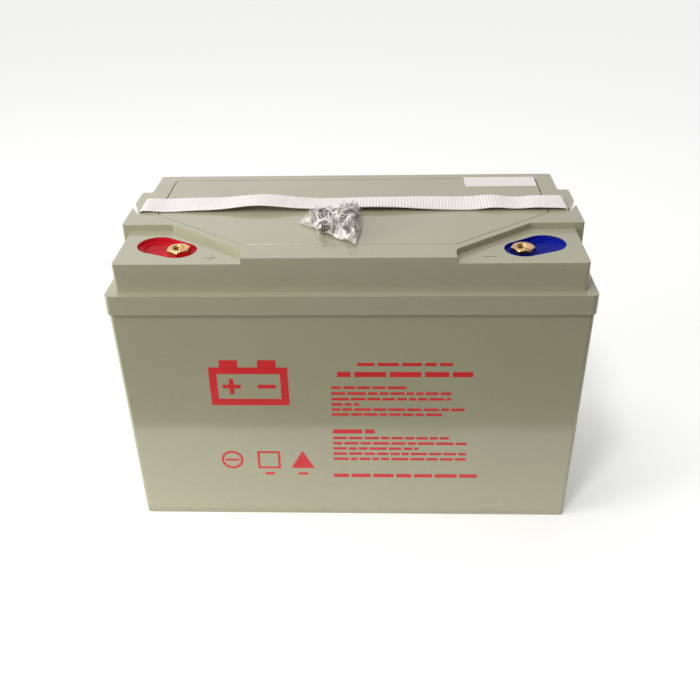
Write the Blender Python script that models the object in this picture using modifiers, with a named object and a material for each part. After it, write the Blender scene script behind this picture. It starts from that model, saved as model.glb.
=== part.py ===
"""Sealed gel deep-cycle battery, 12 V and about 100 Ah, with its carrying strap and a bag of bolts.

Run with: blender --background --python part.py
Metres, +Z up, +X along the case, -Y is the terminal side. The origin is under the middle of the base.
The case is a ribbed box with six cells in a row. Its lid is welded on and holds the strap hooks, the
terminal pockets and the vent chamber. Touching pieces keep a small gap.
"""

import math

import bmesh
import bpy
from mathutils import Matrix

MM = 0.001
GAP = 0.3 * MM
SIDES = {"positive": -1, "negative": 1}
ENDS = {"left": -1, "right": 1}

# Case: the common 330 x 172 x 215 mm block
CASE_LENGTH = 330 * MM
CASE_WIDTH = 172.3 * MM
PLATEAU_Z = 214.7 * MM
LEDGE_Z = 210.4 * MM
SKIRT_BOTTOM_Z = 175.5 * MM
SKIRT_TOP_Z = 189.8 * MM
FOOT_INSET_X = 3.9 * MM
FOOT_INSET_Y = 3.3 * MM
SHOULDER_INSET_X = 1.0 * MM
SHOULDER_INSET_Y = 1.8 * MM
CORNER_R = 3.5 * MM
SKIRT_CORNER_R = 4 * MM

# Cells
CELLS = 6
PARTITION = 2 * MM
CELL_PITCH = 52.87 * MM
CELL_HALF_DEPTH = 79.2 * MM
FLOOR = 4.5 * MM
RIM_Z = 188 * MM
RIM_HALF_LENGTH = 161.8 * MM
RIM_HALF_WIDTH = 82.2 * MM
HEADSPACE_Z = 199 * MM
HEADSPACE_END_X = 152.4 * MM

# Lid
UPPER_FRONT_Y = -79.6 * MM
UPPER_BACK_Y = 80 * MM
FRONT_HALF_LENGTH = 158.2 * MM
BACK_HALF_LENGTH = 156.6 * MM
EAR_HALF_LENGTH = 164.8 * MM
EAR_FRONT_Y = -21.7 * MM
EAR_BACK_Y = 44 * MM
NOSE_HALF_LENGTH = 71.4 * MM
NOSE_BACK_Y = -66.5 * MM
LEDGE_INNER_X = 127 * MM
UPPER_FOOT_Z = 185 * MM
EDGE_R = 0.9 * MM

# Vent chamber
VENT_PLATE = 2.4 * MM
VENT_PLATE_GAP = 0.25 * MM
CHAMBER_WALL = 4 * MM
CHAMBER_FLOOR_Z = 202 * MM
VENT_TUBE_R = 5.5 * MM
VENT_BORE_R = 2.5 * MM
VENT_TUBE_TOP_Z = 208.6 * MM
VENT_Y = 45 * MM
VENT_SPREAD = 0.975
CAP_WALL = 1.4 * MM

# Terminals
TERMINAL_X = 117 * MM
TERMINAL_Y = -56.8 * MM
TERMINAL_AF = 14.7 * MM
TERMINAL_TURNS = {"positive": 0, "negative": math.pi / 6}
TERMINAL_TOP_Z = 212.3 * MM
TERMINAL_BORE_R = 3.4 * MM
POCKET_R = 12.6 * MM
POCKET_BACK_X = 133.4 * MM
POCKET_BACK_Y = -47.9 * MM
POCKET_BACK_R = 14.1 * MM
POCKET_FLOOR_Z = 205.9 * MM
RESIN_TOP_Z = 209.4 * MM
POST_R = 8.2 * MM
SHANK_R = 5.5 * MM

# Raised polarity marks
MARK_X = 94 * MM
MARK_Y = -68.6 * MM
MARK_LENGTH = 8 * MM
MARK_WIDTH = 1.6 * MM
MARK_RISE = 0.4 * MM

# Plates, in the order negative, mat, positive, mat
NEGATIVE_PLATE = 2 * MM
POSITIVE_PLATE = 3 * MM
MAT = 0.8 * MM
PLATE_GAP = 0.3 * MM
PLATE_PITCH = NEGATIVE_PLATE + POSITIVE_PLATE + 2 * MAT + 4 * PLATE_GAP
PLATE_HALF_WIDTH = 75 * MM
PLATE_BOTTOM_Z = 6.6 * MM
PLATE_TOP_Z = 150 * MM
LUG_Y = 50 * MM
LUG_HALF_WIDTH = 7 * MM
BAR_BOTTOM_Z = 158 * MM
BAR_TOP_Z = 168 * MM
BAR_HALF_LENGTH = 24.4 * MM
LINK_Z = 163 * MM
LINK_R = 4.2 * MM

# Carrying strap
WEBBING = 1.2 * MM
WEBBING_WIDTH = 25 * MM
WEBBING_Y = 13.6 * MM
SLOT_X = 157 * MM
SLOT_HALF_WIDTH = 1 * MM
HOOK_PLATE_Z = 210.2 * MM
STRAP_SPLIT_X = 100 * MM
STRAP_PIN_R = 1.8 * MM
STRAP_PIN_Z = 205.6 * MM

# Bolts for the terminals, M8 x 20, in their bag
BAG_BOTTOM_Z = PLATEAU_Z + GAP
BAG_TOP_Z = 230 * MM
BAG_FILM = 0.5 * MM
BOLT_R = 3.9 * MM
BOLT_LENGTH = 20 * MM
BOLT_HEAD = 5.3 * MM
BOLT_AF = 13 * MM

for old in list(bpy.data.objects):
    bpy.data.objects.remove(old)

scene = bpy.context.scene
parts = bpy.data.collections.new("deep_cycle_battery")
cutters = bpy.data.collections.new("cutters")
cutters.hide_render = True
scene.collection.children.link(parts)
scene.collection.children.link(cutters)
origin = bpy.data.objects.new("battery_origin", None)
parts.objects.link(origin)


def material(name, colour, roughness, metallic=0.0, alpha=1.0):
    made = bpy.data.materials.new(name)
    made.use_nodes = True
    shader = made.node_tree.nodes["Principled BSDF"]
    shader.inputs["Base Color"].default_value = (*colour, 1)
    shader.inputs["Roughness"].default_value = roughness
    shader.inputs["Metallic"].default_value = metallic
    shader.inputs["Alpha"].default_value = alpha
    return made


CASE_PLASTIC = material("moulded_abs_case", (0.36, 0.35, 0.26), 0.38)
LID_PLASTIC = material("moulded_abs_lid", (0.45, 0.43, 0.33), 0.35)
BRASS = material("machined_brass", (0.72, 0.46, 0.16), 0.25, 1.0)
LEAD = material("cast_lead", (0.22, 0.23, 0.25), 0.6, 1.0)
RED_RESIN = material("red_epoxy", (0.65, 0.01, 0.01), 0.12)
BLUE_RESIN = material("blue_epoxy", (0.01, 0.03, 0.42), 0.12)
RUBBER = material("black_rubber", (0.02, 0.02, 0.02), 0.7)
POSITIVE_PASTE = material("positive_plate_paste", (0.12, 0.06, 0.03), 0.9)
NEGATIVE_PASTE = material("negative_plate_paste", (0.2, 0.2, 0.21), 0.85)
GLASS_MAT = material("glass_mat", (0.8, 0.8, 0.78), 0.95)
WEBBING_CLOTH = material("white_webbing", (0.85, 0.83, 0.8), 0.8)
STEEL = material("zinc_plated_steel", (0.6, 0.6, 0.62), 0.3, 1.0)
PAPER = material("white_paper", (0.86, 0.85, 0.84), 0.6)
FILM = material("clear_film", (0.9, 0.9, 0.9), 0.08, 0.0, 0.35)


def finish(obj, finish_material, smooth=False):
    obj.data.materials.clear()
    obj.data.materials.append(finish_material)
    obj.parent = origin
    if smooth:
        for polygon in obj.data.polygons:
            polygon.use_smooth = True
    return obj


def mesh_object(name, mesh, location=(0, 0, 0)):
    obj = bpy.data.objects.new(name, mesh)
    obj.location = location
    parts.objects.link(obj)
    return obj


def from_bmesh(name, shape, location=(0, 0, 0)):
    bmesh.ops.recalc_face_normals(shape, faces=shape.faces)
    mesh = bpy.data.meshes.new(name)
    shape.to_mesh(mesh)
    shape.free()
    return mesh_object(name, mesh, location)


def box(name, low, high):
    middle = [(a + b) / 2 for a, b in zip(low, high)]
    shape = bmesh.new()
    bmesh.ops.create_cube(shape, size=1)
    bmesh.ops.scale(shape, vec=[b - a for a, b in zip(low, high)], verts=shape.verts)
    return from_bmesh(name, shape, middle)


def cylinder(name, centre, radius, z_low, z_high, sides=40):
    shape = bmesh.new()
    bmesh.ops.create_cone(
        shape, cap_ends=True, segments=sides, radius1=radius, radius2=radius, depth=z_high - z_low
    )
    return from_bmesh(name, shape, (*centre, (z_low + z_high) / 2))


def hexagon(name, centre, across_flats, z_low, z_high, turn):
    """An upright hexagonal bar with two of its corners along Y, then turned about its axis."""
    bar = cylinder(name, centre, across_flats / math.sqrt(3), z_low, z_high, 6)
    bar.data.transform(Matrix.Rotation(turn, 4, "Z"))
    return bar


def cross_cylinder(name, centre, radius, length, sides=24):
    """A cylinder along X."""
    shape = bmesh.new()
    bmesh.ops.create_cone(
        shape, cap_ends=True, segments=sides, radius1=radius, radius2=radius, depth=length
    )
    bmesh.ops.rotate(shape, matrix=Matrix.Rotation(math.pi / 2, 3, "Y"), verts=shape.verts)
    return from_bmesh(name, shape, centre)


def turned(name, profile, location, steps=40):
    """A profile of (radius, z), outer side from top to bottom, turned about Z."""
    mesh = bpy.data.meshes.new(name)
    edges = [(i, i + 1) for i in range(len(profile) - 1)]
    mesh.from_pydata([(r, 0, z) for r, z in profile], edges, [])
    obj = mesh_object(name, mesh, location)
    screw = obj.modifiers.new("Turn", "SCREW")
    screw.steps = screw.render_steps = steps
    screw.use_merge_vertices = True
    screw.merge_threshold = 0.00005
    screw.use_smooth_shade = True
    return obj


def rounded(corners, steps=5):
    """The outline through corners (x, y, radius), each with its arc, as (x, y) points."""
    outline = []
    for i, (x, y, radius) in enumerate(corners):
        before, after = corners[i - 1], corners[(i + 1) % len(corners)]
        to_before = math.atan2(before[1] - y, before[0] - x)
        to_after = math.atan2(after[1] - y, after[0] - x)
        turn = (to_before - to_after + math.pi) % (2 * math.pi) - math.pi
        if not radius or abs(abs(turn) - math.pi) < 1e-6:
            outline.append((x, y))
            continue
        half = abs(turn) / 2
        middle = to_after + turn / 2
        reach = radius / math.sin(half)
        centre_x = x + reach * math.cos(middle)
        centre_y = y + reach * math.sin(middle)
        sweep = math.pi - abs(turn)
        first = middle + math.pi - math.copysign(sweep / 2, turn)
        count = max(2, round(steps * sweep / (math.pi / 2)))
        for k in range(count + 1):
            angle = first + math.copysign(sweep, turn) * k / count
            outline.append((centre_x + radius * math.cos(angle), centre_y + radius * math.sin(angle)))
    return outline


def both_halves(right):
    """The whole outline, from the corners of its +X half listed front to back."""
    return right + [(-x, y, r) for x, y, r in reversed(right)]


def curve_mesh(curve_object):
    """Turns a curve object into a mesh object with its caps welded."""
    bpy.context.view_layer.update()
    graph = bpy.context.evaluated_depsgraph_get()
    mesh = bpy.data.meshes.new_from_object(curve_object.evaluated_get(graph))
    shape = bmesh.new()
    shape.from_mesh(mesh)
    bmesh.ops.remove_doubles(shape, verts=shape.verts, dist=1e-6)
    shape.to_mesh(mesh)
    shape.free()
    name = curve_object.name
    matrix = curve_object.matrix_world.copy()
    curve = curve_object.data
    bpy.data.objects.remove(curve_object)
    bpy.data.curves.remove(curve)
    mesh_obj = mesh_object(name, mesh)
    mesh_obj.matrix_world = matrix
    return mesh_obj


def flat_curve(name, points, cyclic):
    curve = bpy.data.curves.new(name, "CURVE")
    curve.dimensions = "2D" if cyclic else "3D"
    spline = curve.splines.new("POLY")
    spline.points.add(len(points) - 1)
    for point, (x, y) in zip(spline.points, points):
        point.co = (x, y, 0, 1)
    spline.use_cyclic_u = cyclic
    obj = bpy.data.objects.new(name, curve)
    parts.objects.link(obj)
    return obj


def outline_solid(name, corners, z_low, z_high, steps=5):
    """A flat outline of (x, y, radius) corners, extruded from z_low to z_high."""
    obj = flat_curve(name, rounded(corners, steps), True)
    obj.data.fill_mode = "BOTH"
    obj.data.extrude = (z_high - z_low) / 2
    obj.location.z = (z_low + z_high) / 2
    return curve_mesh(obj)


def round_edges(obj, width, segments=2):
    bevel = obj.modifiers.new("Edges", "BEVEL")
    bevel.width = width
    bevel.segments = segments
    bevel.limit_method = "ANGLE"
    bevel.angle_limit = math.radians(50)
    return obj


def boolean(obj, other, operation):
    modifier = obj.modifiers.new(other.name, "BOOLEAN")
    modifier.operation = operation
    modifier.solver = "EXACT"
    modifier.object = other
    if other.name not in cutters.objects:
        parts.objects.unlink(other)
        cutters.objects.link(other)
        other.display_type = "WIRE"
        other.hide_render = True


def cut(obj, *others):
    for other in others:
        boolean(obj, other, "DIFFERENCE")


def join(obj, *others):
    for other in others:
        boolean(obj, other, "UNION")


def rounded_block(name, half_length, half_width, radius, z_low, z_high):
    corners = [(half_length, -half_width, radius), (half_length, half_width, radius)]
    return outline_solid(name, both_halves(corners), z_low, z_high)


def cell_x(cell):
    """The middle of a cell, numbered from 1 at -X."""
    return (cell - (CELLS + 1) / 2) * CELL_PITCH


def positive_side(cell):
    """The positive lugs stand at the front in odd cells and at the back in even ones."""
    return -1 if cell % 2 else 1


def inset(corners, by):
    """An outline of square and slanting sides, drawn in by the same distance all round."""
    moved = []
    count = len(corners)
    for i, (x, y, radius) in enumerate(corners):
        lines = []
        for start, end in ((corners[i - 1], corners[i]), (corners[i], corners[(i + 1) % count])):
            length = math.hypot(end[0] - start[0], end[1] - start[1])
            normal = ((start[1] - end[1]) / length, (end[0] - start[0]) / length)
            lines.append((normal, normal[0] * start[0] + normal[1] * start[1] + by))
        (a, p), (b, q) = lines
        across = a[0] * b[1] - a[1] * b[0]
        moved.append(
            (
                (p * b[1] - q * a[1]) / across,
                (a[0] * q - b[0] * p) / across,
                max(radius - by, 0.5 * MM),
            )
        )
    return moved


VENT_PLATE_OUTLINE = both_halves(
    [
        (72.5 * MM, -58 * MM, 3 * MM),
        (143 * MM, -2 * MM, 8 * MM),
        (143 * MM, 70 * MM, 4 * MM),
    ]
)
POCKET_OUTLINE_STEPS = 16


def pocket_outline(side, margin):
    """The hull of the terminal's circle and the circle behind it, as (x, y, 0) corners."""
    radius, back_radius = POCKET_R - margin, POCKET_BACK_R - margin
    run_x, run_y = POCKET_BACK_X - TERMINAL_X, POCKET_BACK_Y - TERMINAL_Y
    spread = math.acos((radius - back_radius) / math.hypot(run_x, run_y))
    heading = math.atan2(run_y, run_x)
    corners = []
    for centre_x, centre_y, circle, first, last in (
        (POCKET_BACK_X, POCKET_BACK_Y, back_radius, heading - spread, heading + spread),
        (TERMINAL_X, TERMINAL_Y, radius, heading + spread, heading - spread + 2 * math.pi),
    ):
        for k in range(POCKET_OUTLINE_STEPS + 1):
            angle = first + (last - first) * k / POCKET_OUTLINE_STEPS
            corners.append(
                (side * (centre_x + circle * math.cos(angle)), centre_y + circle * math.sin(angle), 0)
            )
    return corners


def make_container():
    """Open box in one moulding: draughted walls, a tongue round the top and five cell walls."""
    half_length = CASE_LENGTH / 2 - SHOULDER_INSET_X
    half_width = CASE_WIDTH / 2 - SHOULDER_INSET_Y
    shoulder = SKIRT_BOTTOM_Z - GAP
    body = rounded_block("container", half_length, half_width, CORNER_R, 0, shoulder)
    foot_x = (CASE_LENGTH / 2 - FOOT_INSET_X) / half_length
    foot_y = (CASE_WIDTH / 2 - FOOT_INSET_Y) / half_width
    for vertex in body.data.vertices:
        if vertex.co.z < 0:
            vertex.co.x *= foot_x
            vertex.co.y *= foot_y
    round_edges(body, 0.8 * MM)
    tongue = rounded_block(
        "container_tongue", RIM_HALF_LENGTH, RIM_HALF_WIDTH, 4 * MM, shoulder - 20 * MM, RIM_Z
    )
    join(body, tongue)
    for cell in range(1, CELLS + 1):
        middle = cell_x(cell)
        half = (CELL_PITCH - PARTITION) / 2
        hollow = box(
            f"cell_hollow_{cell}",
            (middle - half, -CELL_HALF_DEPTH, FLOOR),
            (middle + half, CELL_HALF_DEPTH, RIM_Z + 10 * MM),
        )
        cut(body, hollow)
    for wall in range(1, CELLS):
        port_y = -positive_side(wall) * LUG_Y
        port = cross_cylinder(
            f"link_port_{wall}",
            (cell_x(wall) + CELL_PITCH / 2, port_y, LINK_Z),
            LINK_R + GAP,
            4 * PARTITION,
        )
        cut(body, port)
    return finish(body, CASE_PLASTIC)


def hook_cutters(end, side):
    """The slot and the wedge that free the hook's tooth, and the pocket under it."""
    inner, outer = SLOT_X - SLOT_HALF_WIDTH, SLOT_X + SLOT_HALF_WIDTH
    back = WEBBING_Y + WEBBING_WIDTH / 2 + 0.5 * MM
    beyond = EAR_HALF_LENGTH + 2 * MM
    front = -1 * MM
    corners = [
        (inner, back, 0.4 * MM),
        (inner, front, 0.6 * MM),
        (outer, front, 0),
        (beyond, 15.9 * MM, 0),
        (beyond, 26 * MM, 0),
        (outer, 2.8 * MM, 0.6 * MM),
        (outer, back, 0.4 * MM),
    ]
    corners = [(side * x, y, r) for x, y, r in corners]
    slit = outline_solid(f"hook_slit_{end}", corners, HOOK_PLATE_Z - 2 * MM, PLATEAU_Z + 2 * MM, 3)
    pocket_xs = sorted((side * 151.5 * MM, side * (CASE_LENGTH / 2 + 5 * MM)))
    pocket = box(
        f"hook_pocket_{end}",
        (pocket_xs[0], WEBBING_Y - 14.6 * MM, HEADSPACE_Z + 2 * MM),
        (pocket_xs[1], WEBBING_Y + 14.6 * MM, HOOK_PLATE_Z),
    )
    return slit, pocket


def make_upper_lid():
    """The raised top: one outline stands to the ledges, and its middle and ears go on to the plateau."""
    wall = rounded(
        [
            (NOSE_HALF_LENGTH, UPPER_FRONT_Y, 0),
            (NOSE_HALF_LENGTH, NOSE_BACK_Y, 6 * MM),
            (LEDGE_INNER_X, EAR_FRONT_Y, 5 * MM),
            (FRONT_HALF_LENGTH, EAR_FRONT_Y, 0),
        ]
    )
    ledge_front = rounded(
        [
            (FRONT_HALF_LENGTH, EAR_FRONT_Y, 0),
            (FRONT_HALF_LENGTH, UPPER_FRONT_Y, 2.5 * MM),
            (NOSE_HALF_LENGTH, UPPER_FRONT_Y, 0),
        ]
    )
    back = rounded(
        [
            (FRONT_HALF_LENGTH, EAR_FRONT_Y, 0),
            (EAR_HALF_LENGTH, EAR_FRONT_Y, 1.5 * MM),
            (EAR_HALF_LENGTH, EAR_BACK_Y, 2 * MM),
            (BACK_HALF_LENGTH, EAR_BACK_Y, 2 * MM),
            (BACK_HALF_LENGTH, UPPER_BACK_Y, 2.5 * MM),
            (0, UPPER_BACK_Y, 0),
        ]
    )
    shape = bmesh.new()
    made = {}

    def corner(x, y):
        key = (round(x, 7), round(y, 7))
        if key not in made:
            made[key] = shape.verts.new((x, y, UPPER_FOOT_Z))
        return made[key]

    half = wall + back[1:-1]
    shape.faces.new([corner(x, y) for x, y in half + [(-x, y) for x, y in reversed(half)]])
    for side in ENDS.values():
        shape.faces.new([corner(side * x, y) for x, y in wall + ledge_front[1:-1]])
    bmesh.ops.recalc_face_normals(shape, faces=shape.faces)
    bottom = list(shape.faces)
    raised = bmesh.ops.extrude_face_region(shape, geom=bottom, use_keep_orig=True)["geom"]
    tops = [item for item in raised if isinstance(item, bmesh.types.BMFace)]
    lifted = [item for item in raised if isinstance(item, bmesh.types.BMVert)]
    bmesh.ops.translate(shape, vec=(0, 0, LEDGE_Z - UPPER_FOOT_Z), verts=lifted)
    plateau = max(tops, key=lambda face: face.calc_area())
    raised = bmesh.ops.extrude_face_region(shape, geom=[plateau])["geom"]
    bmesh.ops.delete(shape, geom=[plateau], context="FACES_ONLY")
    lifted = [item for item in raised if isinstance(item, bmesh.types.BMVert)]
    bmesh.ops.translate(shape, vec=(0, 0, PLATEAU_Z - LEDGE_Z), verts=lifted)
    return round_edges(from_bmesh("lid_upper", shape), EDGE_R)


def polarity_marks():
    """Raised plus and minus bars on the ledges, beside their terminals."""
    half, width, low, high = MARK_LENGTH / 2, MARK_WIDTH / 2, LEDGE_Z - 1 * MM, LEDGE_Z + MARK_RISE
    marks = []
    for name, middle, reach_x, reach_y in (
        ("plus_bar_across", -MARK_X, half, width),
        ("plus_bar_along", -MARK_X, width, half),
        ("minus_bar", MARK_X, half, width),
    ):
        marks.append(
            box(
                name,
                (middle - reach_x, MARK_Y - reach_y, low),
                (middle + reach_x, MARK_Y + reach_y, high),
            )
        )
    marks[0].location.z += MARK_RISE / 8
    return marks


def make_cover():
    """Lid in one moulding: skirt, raised top, terminal ledges, strap hooks and vent chamber."""
    lid = rounded_block(
        "cover", CASE_LENGTH / 2, CASE_WIDTH / 2, SKIRT_CORNER_R, SKIRT_BOTTOM_Z, SKIRT_TOP_Z
    )
    round_edges(lid, EDGE_R)
    join(lid, make_upper_lid())
    cut(
        lid,
        rounded_block(
            "tongue_room",
            RIM_HALF_LENGTH + GAP,
            RIM_HALF_WIDTH + GAP,
            4 * MM,
            SKIRT_BOTTOM_Z - 5 * MM,
            RIM_Z + GAP,
        ),
    )
    for cell in range(1, CELLS + 1):
        middle = cell_x(cell)
        half = (CELL_PITCH - PARTITION) / 2
        headspace = box(
            f"headspace_{cell}",
            (max(middle - half, -HEADSPACE_END_X), -CELL_HALF_DEPTH + 3 * MM, RIM_Z - 5 * MM),
            (min(middle + half, HEADSPACE_END_X), CELL_HALF_DEPTH - 3 * MM, HEADSPACE_Z),
        )
        cut(lid, headspace)
    seat_z = PLATEAU_Z - VENT_PLATE - GAP
    cut(
        lid,
        outline_solid(
            "vent_plate_seat",
            inset(VENT_PLATE_OUTLINE, -VENT_PLATE_GAP),
            seat_z,
            PLATEAU_Z + 5 * MM,
        ),
        outline_solid(
            "vent_chamber", inset(VENT_PLATE_OUTLINE, CHAMBER_WALL), CHAMBER_FLOOR_Z, seat_z + 1 * MM
        ),
    )
    for cell in range(1, CELLS + 1):
        where = (cell_x(cell) * VENT_SPREAD, VENT_Y)
        tube = cylinder(
            f"vent_tube_{cell}", where, VENT_TUBE_R, CHAMBER_FLOOR_Z - 2 * MM, VENT_TUBE_TOP_Z, 20
        )
        bore = cylinder(
            f"vent_bore_{cell}", where, VENT_BORE_R, HEADSPACE_Z - 2 * MM, PLATEAU_Z, 12
        )
        join(lid, tube)
        cut(lid, bore)
    for sign, side in SIDES.items():
        where = (side * TERMINAL_X, TERMINAL_Y)
        corners = pocket_outline(side, 0)
        cut(
            lid,
            outline_solid(f"terminal_pocket_{sign}", corners, POCKET_FLOOR_Z, LEDGE_Z + 5 * MM),
            cylinder(f"ring_seat_{sign}", where, 11.5 * MM, POCKET_FLOOR_Z - 3 * MM, LEDGE_Z),
            cylinder(f"post_hole_{sign}", where, POST_R + 0.4 * MM, HEADSPACE_Z - 4 * MM, LEDGE_Z),
        )
    for end, side in ENDS.items():
        cut(lid, *hook_cutters(end, side))
    join(lid, *polarity_marks())
    return finish(lid, LID_PLASTIC)


def make_vent_parts():
    """The plate that closes the vent chamber, and a rubber cap on each cell's vent tube."""
    plate = outline_solid(
        "vent_cover_plate", VENT_PLATE_OUTLINE, PLATEAU_Z - VENT_PLATE, PLATEAU_Z
    )
    finish(round_edges(plate, 0.3 * MM, 1), LID_PLASTIC)
    inside = VENT_TUBE_R + GAP
    skirt_low, roof = -4 * MM, GAP
    profile = [
        (0, roof + CAP_WALL),
        (inside + CAP_WALL - 0.5 * MM, roof + CAP_WALL),
        (inside + CAP_WALL, roof + CAP_WALL - 0.5 * MM),
        (inside + CAP_WALL, skirt_low),
        (inside, skirt_low),
        (inside, roof),
        (0, roof),
    ]
    for cell in range(1, CELLS + 1):
        cap = turned(
            f"vent_cap_{cell}", profile, (cell_x(cell) * VENT_SPREAD, VENT_Y, VENT_TUBE_TOP_Z), 20
        )
        finish(cap, RUBBER)


def make_terminal(sign, side):
    """A brass M8 insert cast into the lead post, its ring seal, and the resin poured round it."""
    where = (side * TERMINAL_X, TERMINAL_Y)
    base = POCKET_FLOOR_Z + GAP
    turn = TERMINAL_TURNS[sign]
    terminal = hexagon(f"terminal_{sign}", where, TERMINAL_AF, base, TERMINAL_TOP_Z, turn)
    shank_low = 190 * MM
    corner = TERMINAL_AF / math.sqrt(3)
    chamfer = turned(
        f"terminal_chamfer_{sign}",
        [
            (0, 0),
            (corner - 1.3 * MM, 0),
            (corner + 1 * MM, -1.2 * MM),
            (corner + 1 * MM, -12 * MM),
            (0, -12 * MM),
        ],
        (*where, TERMINAL_TOP_Z),
        48,
    )
    boolean(terminal, chamfer, "INTERSECT")
    shank = cylinder(f"terminal_shank_{sign}", where, SHANK_R, shank_low, base + 1 * MM, 32)
    bore = cylinder(
        f"terminal_bore_{sign}", where, TERMINAL_BORE_R, shank_low + 3 * MM, LEDGE_Z + 9 * MM, 32
    )
    mouth = turned(
        f"terminal_mouth_{sign}",
        [
            (0, 1 * MM),
            (TERMINAL_BORE_R + 1.7 * MM, 1 * MM),
            (TERMINAL_BORE_R - 0.5 * MM, -1.2 * MM),
            (0, -1.2 * MM),
        ],
        (*where, TERMINAL_TOP_Z),
        32,
    )
    join(terminal, shank)
    cut(terminal, bore, mouth)
    finish(terminal, BRASS)

    post = turned(
        f"lead_post_{sign}",
        [
            (SHANK_R + GAP, POCKET_FLOOR_Z - GAP),
            (POST_R, POCKET_FLOOR_Z - GAP),
            (POST_R, BAR_TOP_Z + GAP),
            (0, BAR_TOP_Z + GAP),
            (0, shank_low - GAP),
            (SHANK_R + GAP, shank_low - GAP),
            (SHANK_R + GAP, POCKET_FLOOR_Z - GAP),
        ],
        (*where, 0),
        32,
    )
    finish(post, LEAD)

    bpy.ops.mesh.primitive_torus_add(
        location=(*where, POCKET_FLOOR_Z - 1.6 * MM),
        major_segments=24,
        minor_segments=6,
        major_radius=9.95 * MM,
        minor_radius=1.25 * MM,
    )
    ring = bpy.context.active_object
    for collection in list(ring.users_collection):
        collection.objects.unlink(ring)
    parts.objects.link(ring)
    ring.name = f"post_seal_ring_{sign}"
    finish(ring, RUBBER, smooth=True)

    resin = outline_solid(
        f"resin_seal_{sign}", pocket_outline(side, GAP), POCKET_FLOOR_Z + GAP, RESIN_TOP_Z
    )
    hex_room = hexagon(
        f"hex_room_{sign}", where, TERMINAL_AF + 2 * GAP, POCKET_FLOOR_Z - GAP, LEDGE_Z, turn
    )
    dish = cylinder(
        f"resin_dish_{sign}",
        (side * POCKET_BACK_X, POCKET_BACK_Y),
        8.6 * MM,
        RESIN_TOP_Z - 1 * MM,
        RESIN_TOP_Z + 5 * MM,
    )
    cut(resin, hex_room, dish)
    finish(resin, RED_RESIN if sign == "positive" else BLUE_RESIN)


def plate_group(name, cell, count, thickness, side, paste):
    """A row of plates whose lugs are burned into one lead bar, as one casting."""
    middle = cell_x(cell)
    corners = [
        (-PLATE_HALF_WIDTH, PLATE_BOTTOM_Z, 0),
        (PLATE_HALF_WIDTH, PLATE_BOTTOM_Z, 0),
        (PLATE_HALF_WIDTH, PLATE_TOP_Z, 0),
        (side * LUG_Y + LUG_HALF_WIDTH, PLATE_TOP_Z, 0),
        (side * LUG_Y + LUG_HALF_WIDTH, BAR_BOTTOM_Z + 2 * MM, 0),
        (side * LUG_Y - LUG_HALF_WIDTH, BAR_BOTTOM_Z + 2 * MM, 0),
        (side * LUG_Y - LUG_HALF_WIDTH, PLATE_TOP_Z, 0),
        (-PLATE_HALF_WIDTH, PLATE_TOP_Z, 0),
    ]
    plates = outline_solid(name, corners, -thickness / 2, thickness / 2)
    first_x = middle - (count - 1) / 2 * PLATE_PITCH
    plates.matrix_world = Matrix(
        ((0, 0, 1, first_x), (1, 0, 0, 0), (0, 1, 0, 0), (0, 0, 0, 1))
    )
    array = plates.modifiers.new("Plates", "ARRAY")
    array.count = count
    array.use_relative_offset = False
    array.use_constant_offset = True
    array.constant_offset_displace = (0, 0, PLATE_PITCH)
    carries_post = (name.startswith("positive") and cell == 1) or (
        name.startswith("negative") and cell == CELLS
    )
    reach = -TERMINAL_Y + POST_R + 1 * MM if carries_post else LUG_Y + LUG_HALF_WIDTH + 1 * MM
    bar_ys = sorted((side * (LUG_Y - LUG_HALF_WIDTH - 1 * MM), side * reach))
    bar = box(
        f"{name}_bar",
        (middle - BAR_HALF_LENGTH, bar_ys[0], BAR_BOTTOM_Z),
        (middle + BAR_HALF_LENGTH, bar_ys[1], BAR_TOP_Z),
    )
    join(plates, bar)
    finish(plates, paste)


def make_separator(cell):
    """Twelve glass-fibre mats between the plates, held together by the mat under them."""
    count = 2 * CELLS
    middle = cell_x(cell)
    half_width = PLATE_HALF_WIDTH + 2 * MM
    low, high = FLOOR + 0.5 * MM, PLATE_TOP_Z + 4 * MM
    spread = (PLATE_PITCH - POSITIVE_PLATE - MAT - 2 * PLATE_GAP) / 2
    offset = (POSITIVE_PLATE + MAT) / 2 + PLATE_GAP
    base_top = PLATE_BOTTOM_Z - PLATE_GAP
    first = middle - (count / 2 - 1) / 2 * PLATE_PITCH - offset
    base = box(
        f"separator_{cell}",
        (first - MAT / 2, -half_width, low),
        (first + (count / 2 - 1) * PLATE_PITCH + 2 * offset + MAT / 2, half_width, base_top),
    )
    for k, start in enumerate((first, first + 2 * offset)):
        mats = box(
            f"separator_{cell}_mats_{k}",
            (start - MAT / 2, -half_width, low + spread / 4),
            (start + MAT / 2, half_width, high),
        )
        array = mats.modifiers.new("Mats", "ARRAY")
        array.count = count // 2
        array.use_relative_offset = False
        array.use_constant_offset = True
        array.constant_offset_displace = (PLATE_PITCH, 0, 0)
        join(base, mats)
    finish(base, GLASS_MAT)


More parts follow.
